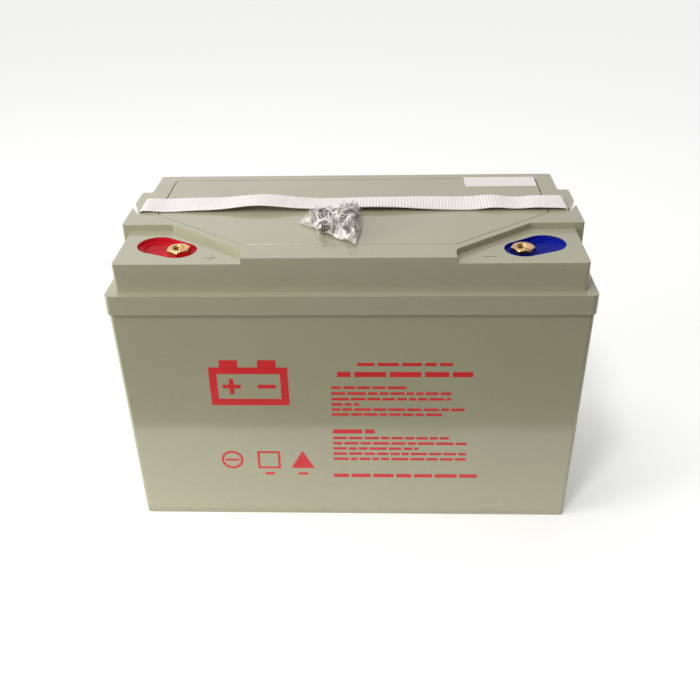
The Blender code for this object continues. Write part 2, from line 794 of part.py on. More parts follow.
def make_cells():
    for cell in range(1, CELLS + 1):
        side = positive_side(cell)
        plate_group(
            f"positive_plates_{cell}", cell, 6, POSITIVE_PLATE, side, POSITIVE_PASTE
        )
        plate_group(
            f"negative_plates_{cell}", cell, 7, NEGATIVE_PLATE, -side, NEGATIVE_PASTE
        )
        make_separator(cell)
    room = CELL_PITCH / 2 - BAR_HALF_LENGTH - GAP
    face = PARTITION / 2 + GAP
    for wall in range(1, CELLS):
        link = turned(
            f"intercell_link_{wall}",
            [
                (0, room),
                (LINK_R + 1.2 * MM, room),
                (LINK_R + 1.2 * MM, face),
                (LINK_R, face),
                (LINK_R, -face),
                (LINK_R + 1.2 * MM, -face),
                (LINK_R + 1.2 * MM, -room),
                (0, -room),
            ],
            (cell_x(wall) + CELL_PITCH / 2, -positive_side(wall) * LUG_Y, LINK_Z),
            16,
        )
        link.rotation_euler = (0, math.pi / 2, 0)
        finish(link, LEAD)


def strap_height(x):
    """How far the lying strap's middle layer stands over the lid: low waves at rest."""
    waves = ((-68, 3.9, 27), (-115, 0.8, 18), (20, 1.7, 46), (104, 1.7, 12), (136, 1.3, 12))
    rise = sum(h * math.exp(-(((x / MM - at) / width) ** 2)) for at, h, width in waves)
    return GAP + WEBBING / 2 + rise * MM


def webbing(name, points):
    """A strip of webbing along (x, z) points, lying across Y."""
    obj = flat_curve(name, points, False)
    obj.data.extrude = WEBBING_WIDTH / 2
    obj.location = (0, WEBBING_Y, 0)
    obj.rotation_euler = (math.pi / 2, 0, 0)
    strip = curve_mesh(obj)
    thick = strip.modifiers.new("Thickness", "SOLIDIFY")
    thick.thickness = WEBBING
    thick.offset = 0
    thick.use_even_offset = True
    finish(strip, WEBBING_CLOTH)


def make_strap():
    """The strap's free middle, and its two ends, each led down a slot and round a steel pin."""
    steps = 40
    middle = []
    for k in range(steps + 1):
        x = STRAP_SPLIT_X * (2 * k / steps - 1)
        middle.append((x, PLATEAU_Z + strap_height(x)))
    webbing("strap_middle", middle)
    bend = WEBBING
    pin_reach = STRAP_PIN_R + GAP + WEBBING / 2
    for end, side in ENDS.items():
        points = []
        bend_x = SLOT_X - bend
        for k in range(15):
            x = STRAP_SPLIT_X + GAP + (bend_x - STRAP_SPLIT_X - GAP) * k / 14
            points.append((side * x, PLATEAU_Z + strap_height(side * x)))
        top = points[-1][1]
        for k in range(1, 7):
            angle = math.pi / 2 * (1 - k / 6)
            points.append(
                (side * (bend_x + bend * math.cos(angle)), top - bend * (1 - math.sin(angle)))
            )
        pin_x = SLOT_X + pin_reach
        for k in range(15):
            angle = math.pi + math.radians(260) * k / 14
            points.append(
                (
                    side * (pin_x + pin_reach * math.cos(angle)),
                    STRAP_PIN_Z + pin_reach * math.sin(angle),
                )
            )
        webbing(f"strap_end_{end}", points)
        shape = bmesh.new()
        bmesh.ops.create_cone(
            shape,
            cap_ends=True,
            segments=20,
            radius1=STRAP_PIN_R,
            radius2=STRAP_PIN_R,
            depth=WEBBING_WIDTH + 2 * MM,
        )
        bmesh.ops.rotate(shape, matrix=Matrix.Rotation(math.pi / 2, 3, "X"), verts=shape.verts)
        pin = from_bmesh(f"strap_pin_{end}", shape, (side * pin_x, WEBBING_Y, STRAP_PIN_Z))
        finish(pin, STEEL)


def make_sticker():
    sticker = outline_solid(
        "label_sticker",
        [
            (87 * MM, 51.6 * MM, 1 * MM),
            (142 * MM, 51.6 * MM, 1 * MM),
            (142 * MM, 72.4 * MM, 1 * MM),
            (87 * MM, 72.4 * MM, 1 * MM),
        ],
        PLATEAU_Z + 0.05 * MM,
        PLATEAU_Z + 0.2 * MM,
        2,
    )
    finish(sticker, PAPER)


def make_bolt(name, head_face, heading):
    """An M8 hex bolt lying level, from the middle of its head's outer face towards heading."""
    x, y, z = head_face
    way = (math.cos(heading), math.sin(heading))
    shape = bmesh.new()
    bmesh.ops.create_cone(
        shape,
        cap_ends=True,
        segments=6,
        radius1=BOLT_AF / math.sqrt(3),
        radius2=BOLT_AF / math.sqrt(3),
        depth=BOLT_HEAD,
    )
    turn = Matrix.Rotation(heading, 3, "Z") @ Matrix.Rotation(math.pi / 2, 3, "Y")
    bmesh.ops.rotate(shape, matrix=turn, verts=shape.verts)
    middle = BOLT_HEAD / 2
    bolt = from_bmesh(name, shape, (x + way[0] * middle, y + way[1] * middle, z))
    round_edges(bolt, 0.4 * MM, 1)
    overlap = 2 * MM
    reach = BOLT_HEAD - overlap + (BOLT_LENGTH + overlap) / 2
    shank = cross_cylinder(
        f"{name}_shank", (x + way[0] * reach, y + way[1] * reach, z), BOLT_R, BOLT_LENGTH + overlap, 20
    )
    shank.rotation_euler.z = heading
    round_edges(shank, 0.6 * MM, 1)
    join(bolt, shank)
    finish(bolt, STEEL)


def ring_profile(inner, outer, thickness):
    return [
        (inner, thickness / 2),
        (outer, thickness / 2),
        (outer, -thickness / 2),
        (inner, -thickness / 2),
        (inner, thickness / 2),
    ]


def make_bolt_bag():
    """A clear bag, open at one end, with two bolts, two flat washers and two spring washers."""
    outline = [
        (-37 * MM, -22 * MM, 3 * MM),
        (-21 * MM, -47 * MM, 4 * MM),
        (1 * MM, -60.5 * MM, 2 * MM),
        (5.5 * MM, -60 * MM, 2 * MM),
        (8.4 * MM, -22 * MM, 4 * MM),
        (5 * MM, -1.5 * MM, 4 * MM),
        (-21 * MM, -1.5 * MM, 5 * MM),
        (-30 * MM, -10 * MM, 4 * MM),
    ]
    bag = outline_solid("accessory_bag", outline, BAG_BOTTOM_Z, BAG_TOP_Z, 3)
    round_edges(bag, 1.4 * MM, 2)
    hollow = outline_solid(
        "bag_hollow",
        inset(outline, BAG_FILM),
        BAG_BOTTOM_Z + BAG_FILM,
        BAG_TOP_Z - BAG_FILM,
        3,
    )
    round_edges(hollow, 1.2 * MM, 2)
    mouth = box(
        "bag_mouth",
        (-45 * MM, -24 * MM, BAG_BOTTOM_Z + 3 * MM),
        (-30 * MM, -14 * MM, BAG_TOP_Z - 3 * MM),
    )
    cut(bag, hollow, mouth)
    finish(bag, FILM)
    floor = BAG_BOTTOM_Z + BAG_FILM + GAP
    bolt_z = floor + BOLT_AF / 2
    make_bolt("hex_bolt_1", (-1 * MM, -28 * MM, bolt_z), math.pi / 2)
    make_bolt("hex_bolt_2", (4.2 * MM, -40 * MM, bolt_z), math.pi)
    where = (-19.5 * MM, -19 * MM)
    level = floor
    for count in (1, 2):
        washer = turned(
            f"flat_washer_{count}",
            ring_profile(4.2 * MM, 8 * MM, 1.6 * MM),
            (*where, level + 0.8 * MM),
            28,
        )
        finish(washer, STEEL)
        level += 1.6 * MM + GAP
    for count in (1, 2):
        spring = turned(
            f"spring_washer_{count}",
            ring_profile(4.1 * MM, 7.1 * MM, 2 * MM),
            (*where, level + 1 * MM),
            28,
        )
        slit = box(
            f"spring_slit_{count}",
            (where[0] + 2 * MM, where[1] - 0.6 * MM, level - 1 * MM),
            (where[0] + 9 * MM, where[1] + 0.6 * MM, level + 3 * MM),
        )
        cut(spring, slit)
        finish(spring, STEEL)
        level += 2 * MM + GAP


make_container()
make_cover()
make_vent_parts()
for terminal_sign, terminal_side in SIDES.items():
    make_terminal(terminal_sign, terminal_side)
make_cells()
make_strap()
make_sticker()
make_bolt_bag()
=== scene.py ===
"""Looks of a sealed gel deep-cycle battery with its carrying strap and bag of terminal bolts.

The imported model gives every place. Each section below is one piece, in the order of assembly.
"""

import math

import bmesh
import bpy
import numpy as np
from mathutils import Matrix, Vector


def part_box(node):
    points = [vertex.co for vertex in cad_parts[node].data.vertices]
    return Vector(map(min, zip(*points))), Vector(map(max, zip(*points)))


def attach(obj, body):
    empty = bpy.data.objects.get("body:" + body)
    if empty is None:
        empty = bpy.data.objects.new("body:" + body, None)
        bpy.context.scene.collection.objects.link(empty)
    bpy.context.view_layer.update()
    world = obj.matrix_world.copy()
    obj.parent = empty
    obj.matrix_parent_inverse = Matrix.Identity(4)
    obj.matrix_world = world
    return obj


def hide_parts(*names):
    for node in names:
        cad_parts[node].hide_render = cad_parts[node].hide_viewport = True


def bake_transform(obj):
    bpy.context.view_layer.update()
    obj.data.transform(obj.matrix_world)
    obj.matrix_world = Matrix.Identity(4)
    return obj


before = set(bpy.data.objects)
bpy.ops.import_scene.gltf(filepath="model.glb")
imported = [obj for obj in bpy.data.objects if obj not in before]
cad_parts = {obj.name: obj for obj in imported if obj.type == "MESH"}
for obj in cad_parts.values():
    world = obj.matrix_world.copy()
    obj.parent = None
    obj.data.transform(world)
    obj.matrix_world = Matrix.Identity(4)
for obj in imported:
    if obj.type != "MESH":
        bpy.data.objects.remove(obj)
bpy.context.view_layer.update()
MM = 0.001


# ---------------------------------------------------------------------------------------------
# Camera. A short telephoto on a tripod, a little to the right of the battery's middle and
# looking down on it by thirty degrees.

camera = bpy.data.objects.new("camera", bpy.data.cameras.new("camera"))
bpy.context.scene.collection.objects.link(camera)
bpy.context.scene.camera = camera
camera.location = (21.98 * MM, -608.67 * MM, 457.41 * MM)
camera.rotation_euler = [math.radians(a) for a in (59.476, 1.253, 2.151)]
camera.data.lens = 45.55
camera.data.sensor_width = 36
camera.data.shift_x = 0.0097
camera.data.shift_y = -0.0009
camera.data.clip_start = 0.01
camera.data.clip_end = 50
bpy.context.scene.view_settings.view_transform = "Standard"


# ---------------------------------------------------------------------------------------------
# Studio. A white paper sweep on a table, with a big soft box at the left, a small one under the
# ceiling on the camera's side and a broad sky light. Cards that only the battery's reflections or
# only its shaded walls see stand in for the lit table and the dim room in front of it.

TABLE_EDGE_Y = -192 * MM
FLOOR_HALF = 6.0
FLOOR_Z = -0.3 * MM
FIBRE = 3.3 * MM
PAPER_GLOW = 0.22
CARD_FRONT_Y = -2.5
CARD_HALF = 1.6
CARD_Z = 0.5 * MM
FALL_HALF = 170 * MM
FALL_RIGHT = 0.66


def linear(hex_colour):
    """A colour written as sRGB hex, as linear RGB with alpha 1."""
    channels = [int(hex_colour[i : i + 2], 16) / 255 for i in (1, 3, 5)]
    return (*(c / 12.92 if c <= 0.04045 else ((c + 0.055) / 1.055) ** 2.4 for c in channels), 1)


def add(tree, kind, links=None, **settings):
    """One shader node: settings are its own, links gives each socket a value or another socket."""
    made = tree.nodes.new("ShaderNode" + kind)
    for name, value in settings.items():
        setattr(made, name, value)
    for name, value in (links or {}).items():
        if isinstance(value, bpy.types.NodeSocket):
            tree.links.new(value, made.inputs[name])
        else:
            made.inputs[name].default_value = value
    return made


def new_material(name, **sockets):
    """A Principled material. Returns it, its tree and its shader."""
    made = bpy.data.materials.new(name)
    made.use_nodes = True
    shader = made.node_tree.nodes["Principled BSDF"]
    for socket, value in sockets.items():
        shader.inputs[socket.replace("_", " ")].default_value = value
    return made, made.node_tree, shader


def ramp(tree, factor, stops):
    """A colour ramp over factor, with stops of (position, colour)."""
    made = add(tree, "ValToRGB", {"Fac": factor})
    elements = made.color_ramp.elements
    while len(elements) < len(stops):
        elements.new(1)
    for element, (position, colour) in zip(elements, stops):
        element.position = position
        element.color = colour if len(colour) == 4 else (*colour, 1)
    return made.outputs["Color"]


def grey(value):
    """A grey of this linear value, or a plain number on its way to a socket that takes one."""
    return (value, value, value, 1)


def vary(tree, shader, socket, factor, *stops):
    """Drives one socket of the shader by a ramp over factor, with stops of (position, colour)."""
    tree.links.new(ramp(tree, factor, stops), shader.inputs[socket])


def make_mesh(name, points, faces, material, smooth=True):
    """A mesh from an (n, 3) array of points in metres and an (m, 4) array of faces."""
    mesh = bpy.data.meshes.new(name)
    mesh.from_pydata(points.tolist(), [], faces.tolist())
    mesh.polygons.foreach_set("use_smooth", np.full(len(faces), smooth))
    mesh.materials.append(material)
    mesh.update()
    piece = bpy.data.objects.new(name, mesh)
    bpy.context.scene.collection.objects.link(piece)
    return piece


def grid_faces(rows, columns, wrap_rows=False, wrap_columns=False):
    """Quads between neighbours of a rows by columns grid, joined end to end where it wraps."""
    r = np.arange(rows if wrap_rows else rows - 1)[:, None]
    c = np.arange(columns if wrap_columns else columns - 1)[None, :]
    r2, c2 = (r + 1) % rows, (c + 1) % columns
    corners = [r * columns + c, r * columns + c2, r2 * columns + c2, r2 * columns + c]
    return np.stack(np.broadcast_arrays(*corners), -1).reshape(-1, 4)


paper, tree, shader = new_material("matt_white_paper_sweep", Roughness=0.9)
place = add(tree, "TexCoord").outputs["Object"]
fibre = add(tree, "TexNoise", {"Vector": place, "Scale": 1 / FIBRE, "Detail": 3.0}).outputs["Fac"]
vary(tree, shader, "Base Color", fibre, (0.3, linear("#F8F8F7")), (0.7, linear("#FCFCFB")))
shader.inputs["Emission Color"].default_value = (1, 1, 1, 1)
shader.inputs["Emission Strength"].default_value = PAPER_GLOW


def flat_sheet(name, low_x, low_y, high_x, high_y, z, material):
    """A level rectangle."""
    points = np.array(
        [(low_x, low_y, z), (high_x, low_y, z), (high_x, high_y, z), (low_x, high_y, z)]
    )
    return make_mesh(name, points, np.array([[0, 1, 2, 3]]), material, False)


def card_glow(name, hex_colour, strength):
    """A card that glows upwards, less to the right. From below it is clear, so the floor is lit."""
    made, tree, _ = new_material(name)
    tree.nodes.remove(tree.nodes["Principled BSDF"])
    side = add(tree, "SeparateXYZ", {0: add(tree, "TexCoord").outputs["Object"]}).outputs["X"]
    fall = add(tree, "MapRange", {"Value": side, "From Min": -FALL_HALF, "From Max": FALL_HALF,
                                  "To Min": strength, "To Max": strength * FALL_RIGHT}).outputs[0]
    glow = add(tree, "Emission", {"Color": linear(hex_colour), "Strength": fall}).outputs[0]
    clear = add(tree, "BsdfTransparent").outputs[0]
    under = add(tree, "NewGeometry").outputs["Backfacing"]
    mixed = add(tree, "MixShader", {0: under, 1: glow, 2: clear}).outputs[0]
    tree.links.new(mixed, tree.nodes["Material Output"].inputs["Surface"])
    return made


flat_sheet("floor", -FLOOR_HALF, -FLOOR_HALF, FLOOR_HALF, FLOOR_HALF, FLOOR_Z, paper)

CARD_RAYS = ("camera", "diffuse", "glossy", "transmission", "volume_scatter", "shadow")
for card, low_y, high_y, seen_by, material in (
    ("room_in_gloss", CARD_FRONT_Y, TABLE_EDGE_Y, "glossy",
     card_glow("dim_room_in_gloss", "#8A8878", 0.3)),
    ("table_in_gloss", TABLE_EDGE_Y, -87 * MM, "glossy", card_glow("lit_table", "#FFFBF2", 2.05)),
    ("room_bounce", CARD_FRONT_Y, TABLE_EDGE_Y, "diffuse",
     card_glow("dim_room_bounce", "#C8C4B4", 0.3)),
):
    sheet = flat_sheet(card, -CARD_HALF, low_y, CARD_HALF, high_y, CARD_Z, material)
    for ray in CARD_RAYS:
        setattr(sheet, f"visible_{ray}", ray == seen_by)

for name, kind, place_m, aim_m, size, power in (
    ("soft_box_left", "AREA", (-0.95, -0.42, 0.45), (0, -0.05, 0.12), 0.5, 6.2),
    ("soft_box_ceiling", "AREA", (-0.25, -0.75, 1.45), (0, 0, 0.2), 0.2, 6.4),
    ("sky_light", "SUN", (-0.25, 0.15, 0.95), (0, 0, 0), math.radians(50), 0.66),
):
    lamp = bpy.data.objects.new(name, bpy.data.lights.new(name, kind))
    lamp.data.energy = power
    lamp.data.color = (1.0, 0.99, 0.965)
    if kind == "AREA":
        lamp.data.size = size
    else:
        lamp.data.angle = size
    bpy.context.scene.collection.objects.link(lamp)
    lamp.location = place_m
    aim = [b - a for a, b in zip(place_m, aim_m)]
    across = math.hypot(aim[0], aim[1])
    lamp.rotation_euler = (math.atan2(across, -aim[2]), 0, math.atan2(-aim[0], aim[1]))

# The room is light at the left and at the back, where the windows are, and dim at the right.
world = bpy.data.worlds.new("studio")
bpy.context.scene.world = world
world.use_nodes = True
tree = world.node_tree
way = add(tree, "SeparateXYZ", {0: add(tree, "TexCoord").outputs["Generated"]}).outputs
across = add(tree, "MapRange", {"Value": way["X"], "From Min": -1.0, "From Max": 1.0}).outputs[0]
sides = ramp(tree, across, [(0.0, grey(0.66)), (0.45, (0.44, 0.44, 0.435)), (1.0, grey(0.0))])
window = ramp(tree, way["Y"], [(0.2, grey(0.0)), (0.95, (0.62, 0.62, 0.64))])
pane = add(tree, "MapRange", {"Value": way["X"], "From Min": -0.25, "From Max": 0.15}).outputs[0]
panes = ramp(tree, pane, [(0.1, grey(1.05)), (0.5, grey(0.8)), (0.95, grey(0.6))])
lit_panes = add(tree, "Mix", {"Factor": 1.0, 6: window, 7: panes}, data_type="RGBA",
                blend_type="MULTIPLY").outputs[2]
room = add(tree, "Mix", {"Factor": 1.0, 6: sides, 7: lit_panes}, data_type="RGBA",
           blend_type="ADD").outputs[2]
tree.links.new(room, tree.nodes["Background"].inputs["Color"])


# ---------------------------------------------------------------------------------------------
# Case. An open box injection moulded in grey-green ABS. The mould's spark-eroded grain leaves a
# fine satin, the thick walls sink a little between the cells, and handling polishes them.

FLOW = 111 * MM
SPECK = 2.4 * MM
HANDLING = 36 * MM
GRAIN = 1.1 * MM
GRAIN_DEPTH = 0.012 * MM
SINK = 55 * MM
SINK_DEPTH = 0.6 * MM


def moulded_abs(name, dark, light, roughness):
    """Moulded ABS: semi-gloss, fine grain, faint sink waves and a few dull handling marks.

    The grain is drawn ten times as coarse as it is, so that it shows.
    """
    made, tree, shader = new_material(name, IOR=1.53)
    shader.inputs["Specular IOR Level"].default_value = 0.62
    place = add(tree, "TexCoord").outputs["Object"]
    flow = add(tree, "TexNoise", {"Vector": place, "Scale": 1 / FLOW, "Detail": 3.0}).outputs["Fac"]
    tint = ramp(tree, flow, [(0.2, linear(dark)), (0.8, linear(light))])
    speck = add(
        tree, "TexNoise", {"Vector": place, "Scale": 1 / SPECK, "Detail": 2.0}
    ).outputs["Fac"]
    specks = ramp(tree, speck, [(0.3, grey(0.95)), (0.7, grey(1.0))])
    colour = add(tree, "Mix", {"Factor": 1.0, 6: tint, 7: specks}, data_type="RGBA",
                 blend_type="MULTIPLY")
    tree.links.new(colour.outputs[2], shader.inputs["Base Color"])
    handled = add(
        tree, "TexNoise", {"Vector": place, "Scale": 1 / HANDLING, "Detail": 5.0}
    ).outputs["Fac"]
    dull = add(tree, "MapRange", {"Value": handled, "To Min": roughness - 0.04,
                                  "To Max": roughness + 0.06})
    tree.links.new(dull.outputs["Result"], shader.inputs["Roughness"])
    sink = add(tree, "TexNoise", {"Vector": place, "Scale": 1 / SINK, "Detail": 1.0}).outputs["Fac"]
    grain = add(
        tree, "TexNoise", {"Vector": place, "Scale": 1 / GRAIN, "Detail": 2.0}
    ).outputs["Fac"]
    waves = add(tree, "Bump", {"Height": sink, "Distance": SINK_DEPTH})
    pits = add(tree, "Bump", {"Height": grain, "Distance": GRAIN_DEPTH, "Strength": 0.5})
    tree.links.new(waves.outputs["Normal"], pits.inputs["Normal"])
    tree.links.new(pits.outputs["Normal"], shader.inputs["Normal"])
    return made


def welded_copy(node, name, material, sharp_degrees=38):
    """A CAD node's mesh with its loose triangles merged, round parts smooth and flats kept flat."""
    shape = bmesh.new()
    shape.from_mesh(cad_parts[node].data)
    bmesh.ops.remove_doubles(shape, verts=shape.verts, dist=2e-6)
    for edge in shape.edges:
        edge.smooth = edge.calc_face_angle(0) < math.radians(sharp_degrees)
    for face in shape.faces:
        face.smooth = True
        face.material_index = 0
    mesh = bpy.data.meshes.new(name)
    shape.to_mesh(mesh)
    shape.free()
    mesh.materials.clear()
    mesh.materials.append(material)
    piece = bpy.data.objects.new(name, mesh)
    bpy.context.scene.collection.objects.link(piece)
    even = piece.modifiers.new("Flats", "WEIGHTED_NORMAL")
    even.keep_sharp = True
    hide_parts(node)
    return piece


case_plastic = moulded_abs("moulded_abs_case", "#A6A389", "#ACA98F", 0.13)
case = welded_copy("container", "case_box", case_plastic)
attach(case, "battery")


# ---------------------------------------------------------------------------------------------
# Front print. Red screen ink straight on the case: a battery pictogram, rows of bars where the
# data lines go, and three plain marks. The ink stands a few hundredths of a millimetre proud.

WALL_LEAN = 1.5 * MM
WALL_TOP = 175.2 * MM
INK_STAND_OFF = 0.06 * MM
INK_THICKNESS = 0.03 * MM
INK_CLOUD = 16.7 * MM
SCREEN_MESH = 1.1 * MM
foot_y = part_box("container")[0].y + WALL_LEAN

ink, tree, shader = new_material("red_screen_ink", IOR=1.5)
place = add(tree, "TexCoord").outputs["Object"]
mesh_mark = add(
    tree, "TexNoise", {"Vector": place, "Scale": 1 / SCREEN_MESH, "Detail": 2.0}
).outputs["Fac"]
cloud = add(
    tree, "TexNoise", {"Vector": place, "Scale": 1 / INK_CLOUD, "Detail": 3.0}
).outputs["Fac"]
vary(tree, shader, "Base Color", cloud, (0.3, linear("#CE0C16")), (0.7, linear("#DC141F")))
vary(tree, shader, "Roughness", mesh_mark, (0.3, grey(0.34)), (0.7, grey(0.5)))


def on_front(x, z):
    """Points of the drawing, in millimetres, laid on the leaning front wall and lifted off it."""
    z = np.asarray(z, float) * MM
    y = foot_y - WALL_LEAN * z / WALL_TOP - INK_STAND_OFF
    return np.stack([np.asarray(x, float) * MM, y, z], -1)


def ink_patches(name, outlines):
    """Flat patches, each a closed outline of (x, z) points in millimetres, as one piece."""
    shape = bmesh.new()
    for outline in outlines:
        loop = [shape.verts.new(point) for point in on_front(*np.array(outline, float).T)]
        shape.faces.new(loop)
    bmesh.ops.triangulate(shape, faces=[face for face in shape.faces if len(face.verts) > 4])
    mesh = bpy.data.meshes.new(name)
    shape.to_mesh(mesh)
    shape.free()
    if sum(p.normal.y for p in mesh.polygons) > 0:
        mesh.flip_normals()
    mesh.materials.append(ink)
    piece = bpy.data.objects.new(name, mesh)
    bpy.context.scene.collection.objects.link(piece)
    thick = piece.modifiers.new("Ink", "SOLIDIFY")
    thick.thickness = INK_THICKNESS
    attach(piece, "battery")
    return piece


def bar(x0, z0, x1, z1):
    """A bar's outline between two opposite corners."""
    return [(x0, z0), (x1, z0), (x1, z1), (x0, z1)]


def ring(x, z, outer, inner, steps=48):
    """A ring as one outline with a hair's breadth of slit."""
    turn = np.linspace(0, 2 * math.pi - 1e-3, steps)
    rim = [(x + outer * math.cos(a), z + outer * math.sin(a)) for a in turn]
    return rim + [(x + inner * math.cos(a), z + inner * math.sin(a)) for a in turn[::-1]]


def frame_bars(x0, z0, x1, z1, w):
    """A rectangular frame of line width w as four bars."""
    return [
        bar(x0, z0, x1, z0 + w),
        bar(x0, z1 - w, x1, z1),
        bar(x0, z0 + w, x0 + w, z1 - w),
        bar(x1 - w, z0 + w, x1, z1 - w),
    ]


# The battery pictogram: its outline, its two poles, then the plus and the minus inside it.
pictogram = frame_bars(-100, 101, -44, 133, 5.5)
pictogram += [bar(-92, 133, -79, 139), bar(-65, 133, -52, 139)]
pictogram += [bar(-91, 115.4, -78, 118.6)]
pictogram += [bar(-86.1, 110.5, -82.9, 115.4), bar(-86.1, 118.6, -82.9, 123.5)]
pictogram += [bar(-66, 115.4, -53, 118.6)]
ink_patches("ink_pictogram", pictogram)

word_draw = np.random.default_rng(7)


def word_bars(x0, x1, z_low, height, gap):
    """A line of bars of uneven length, spaced as words are."""
    bars, x = [], x0
    while x < x1:
        width = word_draw.uniform(2.2, 6.0) * height
        end = min(x + width, x1)
        if end - x > height:
            bars.append(bar(x, z_low, end, z_low + height))
        x = end + gap
    return bars


# Two heading lines, a block of data, a heading with its own block, and a line at the foot.
lines = word_bars(5, 76, 134.3, 2.6, 2.4) + word_bars(-9.2, 89.5, 125.2, 4.2, 2.6)
for z, end in ((115.2, 43), (110.2, 71), (105.4, 71), (100.8, 6), (96.4, 84), (92.0, 67)):
    lines += word_bars(-13.8, end, z, 2.2, 1.5)
lines += word_bars(-13.5, 17, 76.2, 3.6, 2.0)
for z, end in ((71.0, 71), (66.2, 84), (61.4, 49), (56.6, 84), (51.8, 84)):
    lines += word_bars(-13.6, end, z, 2.2, 1.5)
lines += word_bars(-13.9, 93, 35.6, 3.2, 2.0)
ink_patches("ink_lines", lines)

# A ring with a bar through it, a square and a triangle, and short bars under the last two.
marks = [ring(-89.5, 51.5, 8.2, 6.4)]
marks += [bar(-94.5, 50.6, -84.5, 52.4)]
marks += frame_bars(-70.5, 43.5, -53.5, 59.5, 1.7)
marks += [[(-45.5, 44), (-28, 44), (-36.75, 60)]]
marks += [bar(-65.5, 37.6, -58.5, 39.8), bar(-40.5, 37.6, -33.5, 39.8)]
ink_patches("ink_marks", marks)


# ---------------------------------------------------------------------------------------------
# Cells. Grids cast in lead and pasted, brown for the positive and slate grey for the negative,
# glass mats between them, and lead bars burned on. They stand inside the closed case.

PASTE_LUMP = 2.9 * MM
GRID_RIB = 7 * MM
OXIDE = 6.25 * MM
FELT = 1.1 * MM
BLOOM = 3.8 * MM


def pasted(name, dark, light):
    """Dried active paste on a lead grid: chalky, with the grid's ribs showing as low lines."""
    made, tree, shader = new_material(name, Roughness=0.9)
    place = add(tree, "TexCoord").outputs["Object"]
    lump = add(
        tree, "TexNoise", {"Vector": place, "Scale": 1 / PASTE_LUMP, "Detail": 6.0}
    ).outputs["Fac"]
    rib = add(tree, "TexWave", {"Vector": place, "Scale": math.pi / 10 / GRID_RIB,
                                "Distortion": 0.6}, bands_direction="Z").outputs["Fac"]
    vary(tree, shader, "Base Color", lump, (0.3, linear(dark)), (0.7, linear(light)))
    ribbed = add(tree, "Bump", {"Height": rib, "Distance": 0.2 * MM}).outputs["Normal"]
    rough = add(tree, "Bump", {"Height": lump, "Distance": 0.1 * MM, "Normal": ribbed})
    tree.links.new(rough.outputs["Normal"], shader.inputs["Normal"])
    return made


# Cast lead: dull grey where the oxide is thick and shinier where it has been rubbed.
cast_lead, tree, shader = new_material("cast_lead", Metallic=1.0)
place = add(tree, "TexCoord").outputs["Object"]
oxide = add(tree, "TexNoise", {"Vector": place, "Scale": 1 / OXIDE, "Detail": 6.0}).outputs["Fac"]
vary(tree, shader, "Base Color", oxide, (0.3, linear("#5E6166")), (0.7, linear("#8B8F95")))
vary(tree, shader, "Roughness", oxide, (0.3, grey(0.7)), (0.7, grey(0.45)))

# Glass mat: matt, nearly white felt.
glass_mat, tree, shader = new_material("felted_glass_mat", Roughness=0.95)
place = add(tree, "TexCoord").outputs["Object"]
felt = add(tree, "TexNoise", {"Vector": place, "Scale": 1 / FELT, "Detail": 5.0}).outputs["Fac"]
vary(tree, shader, "Base Color", felt, (0.3, linear("#D9D8D2")), (0.7, linear("#F1F0EC")))
fuzz = add(tree, "Bump", {"Height": felt, "Distance": 0.15 * MM})
tree.links.new(fuzz.outputs["Normal"], shader.inputs["Normal"])

# Moulded rubber: black, with a greyish bloom that takes its shine.
black_rubber, tree, shader = new_material("moulded_black_rubber", IOR=1.52)
place = add(tree, "TexCoord").outputs["Object"]
bloom = add(tree, "TexNoise", {"Vector": place, "Scale": 1 / BLOOM, "Detail": 4.0}).outputs["Fac"]
vary(tree, shader, "Base Color", bloom, (0.3, linear("#161616")), (0.75, linear("#2A2A29")))
vary(tree, shader, "Roughness", bloom, (0.3, grey(0.55)), (0.7, grey(0.75)))

inner_finish = {
    "positive_plates": pasted("lead_dioxide_paste", "#3A241A", "#54372A"),
    "negative_plates": pasted("spongy_lead_paste", "#5C5E61", "#77797C"),
    "separator": glass_mat,
    "intercell_link": cast_lead,
    "lead_post": cast_lead,
    "post_seal_ring": black_rubber,
    "vent_cap": black_rubber,
}
for node_name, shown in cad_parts.items():
    for start, finish in inner_finish.items():
        if node_name.startswith(start):
            shown.data.materials.clear()
            shown.data.materials.append(finish)


# ---------------------------------------------------------------------------------------------
# Lid. One ABS moulding, heat-welded on the case, with ledges for the terminals, hooks for the
# strap and a chamber over the vents that a flush plate closes.

JOINT_ROOM = 0.36 * MM

lid_plastic = moulded_abs("moulded_abs_lid", "#A8A58D", "#AEAB93", 0.12)
lid = welded_copy("cover", "lid", lid_plastic)
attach(lid, "battery")
vent_plate = welded_copy("vent_cover_plate", "vent_plate", lid_plastic)

# The plate's rim is drawn in by the joint's room: every side wall moves against its own normal.
plate_edge = np.empty(len(vent_plate.data.vertices) * 3)
plate_normal = plate_edge.copy()
vent_plate.data.vertices.foreach_get("co", plate_edge)
vent_plate.data.vertices.foreach_get("normal", plate_normal)
level_normal = plate_normal.reshape(-1, 3)[:, :2]
level_normal /= np.linalg.norm(level_normal, axis=1).clip(1e-3)[:, None]
plate_edge.reshape(-1, 3)[:, :2] -= level_normal * JOINT_ROOM
vent_plate.data.vertices.foreach_set("co", plate_edge)
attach(vent_plate, "battery")

lid_low, lid_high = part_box("cover")
PLATEAU_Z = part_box("vent_cover_plate")[1].z


# ---------------------------------------------------------------------------------------------
# Gate and pin marks. Where the plastic entered the mould, and where pins pushed the lid out, a
# small round pip of the same ABS is left.

PIP_R = 0.55 * MM
PIP_RISE = 0.45 * MM


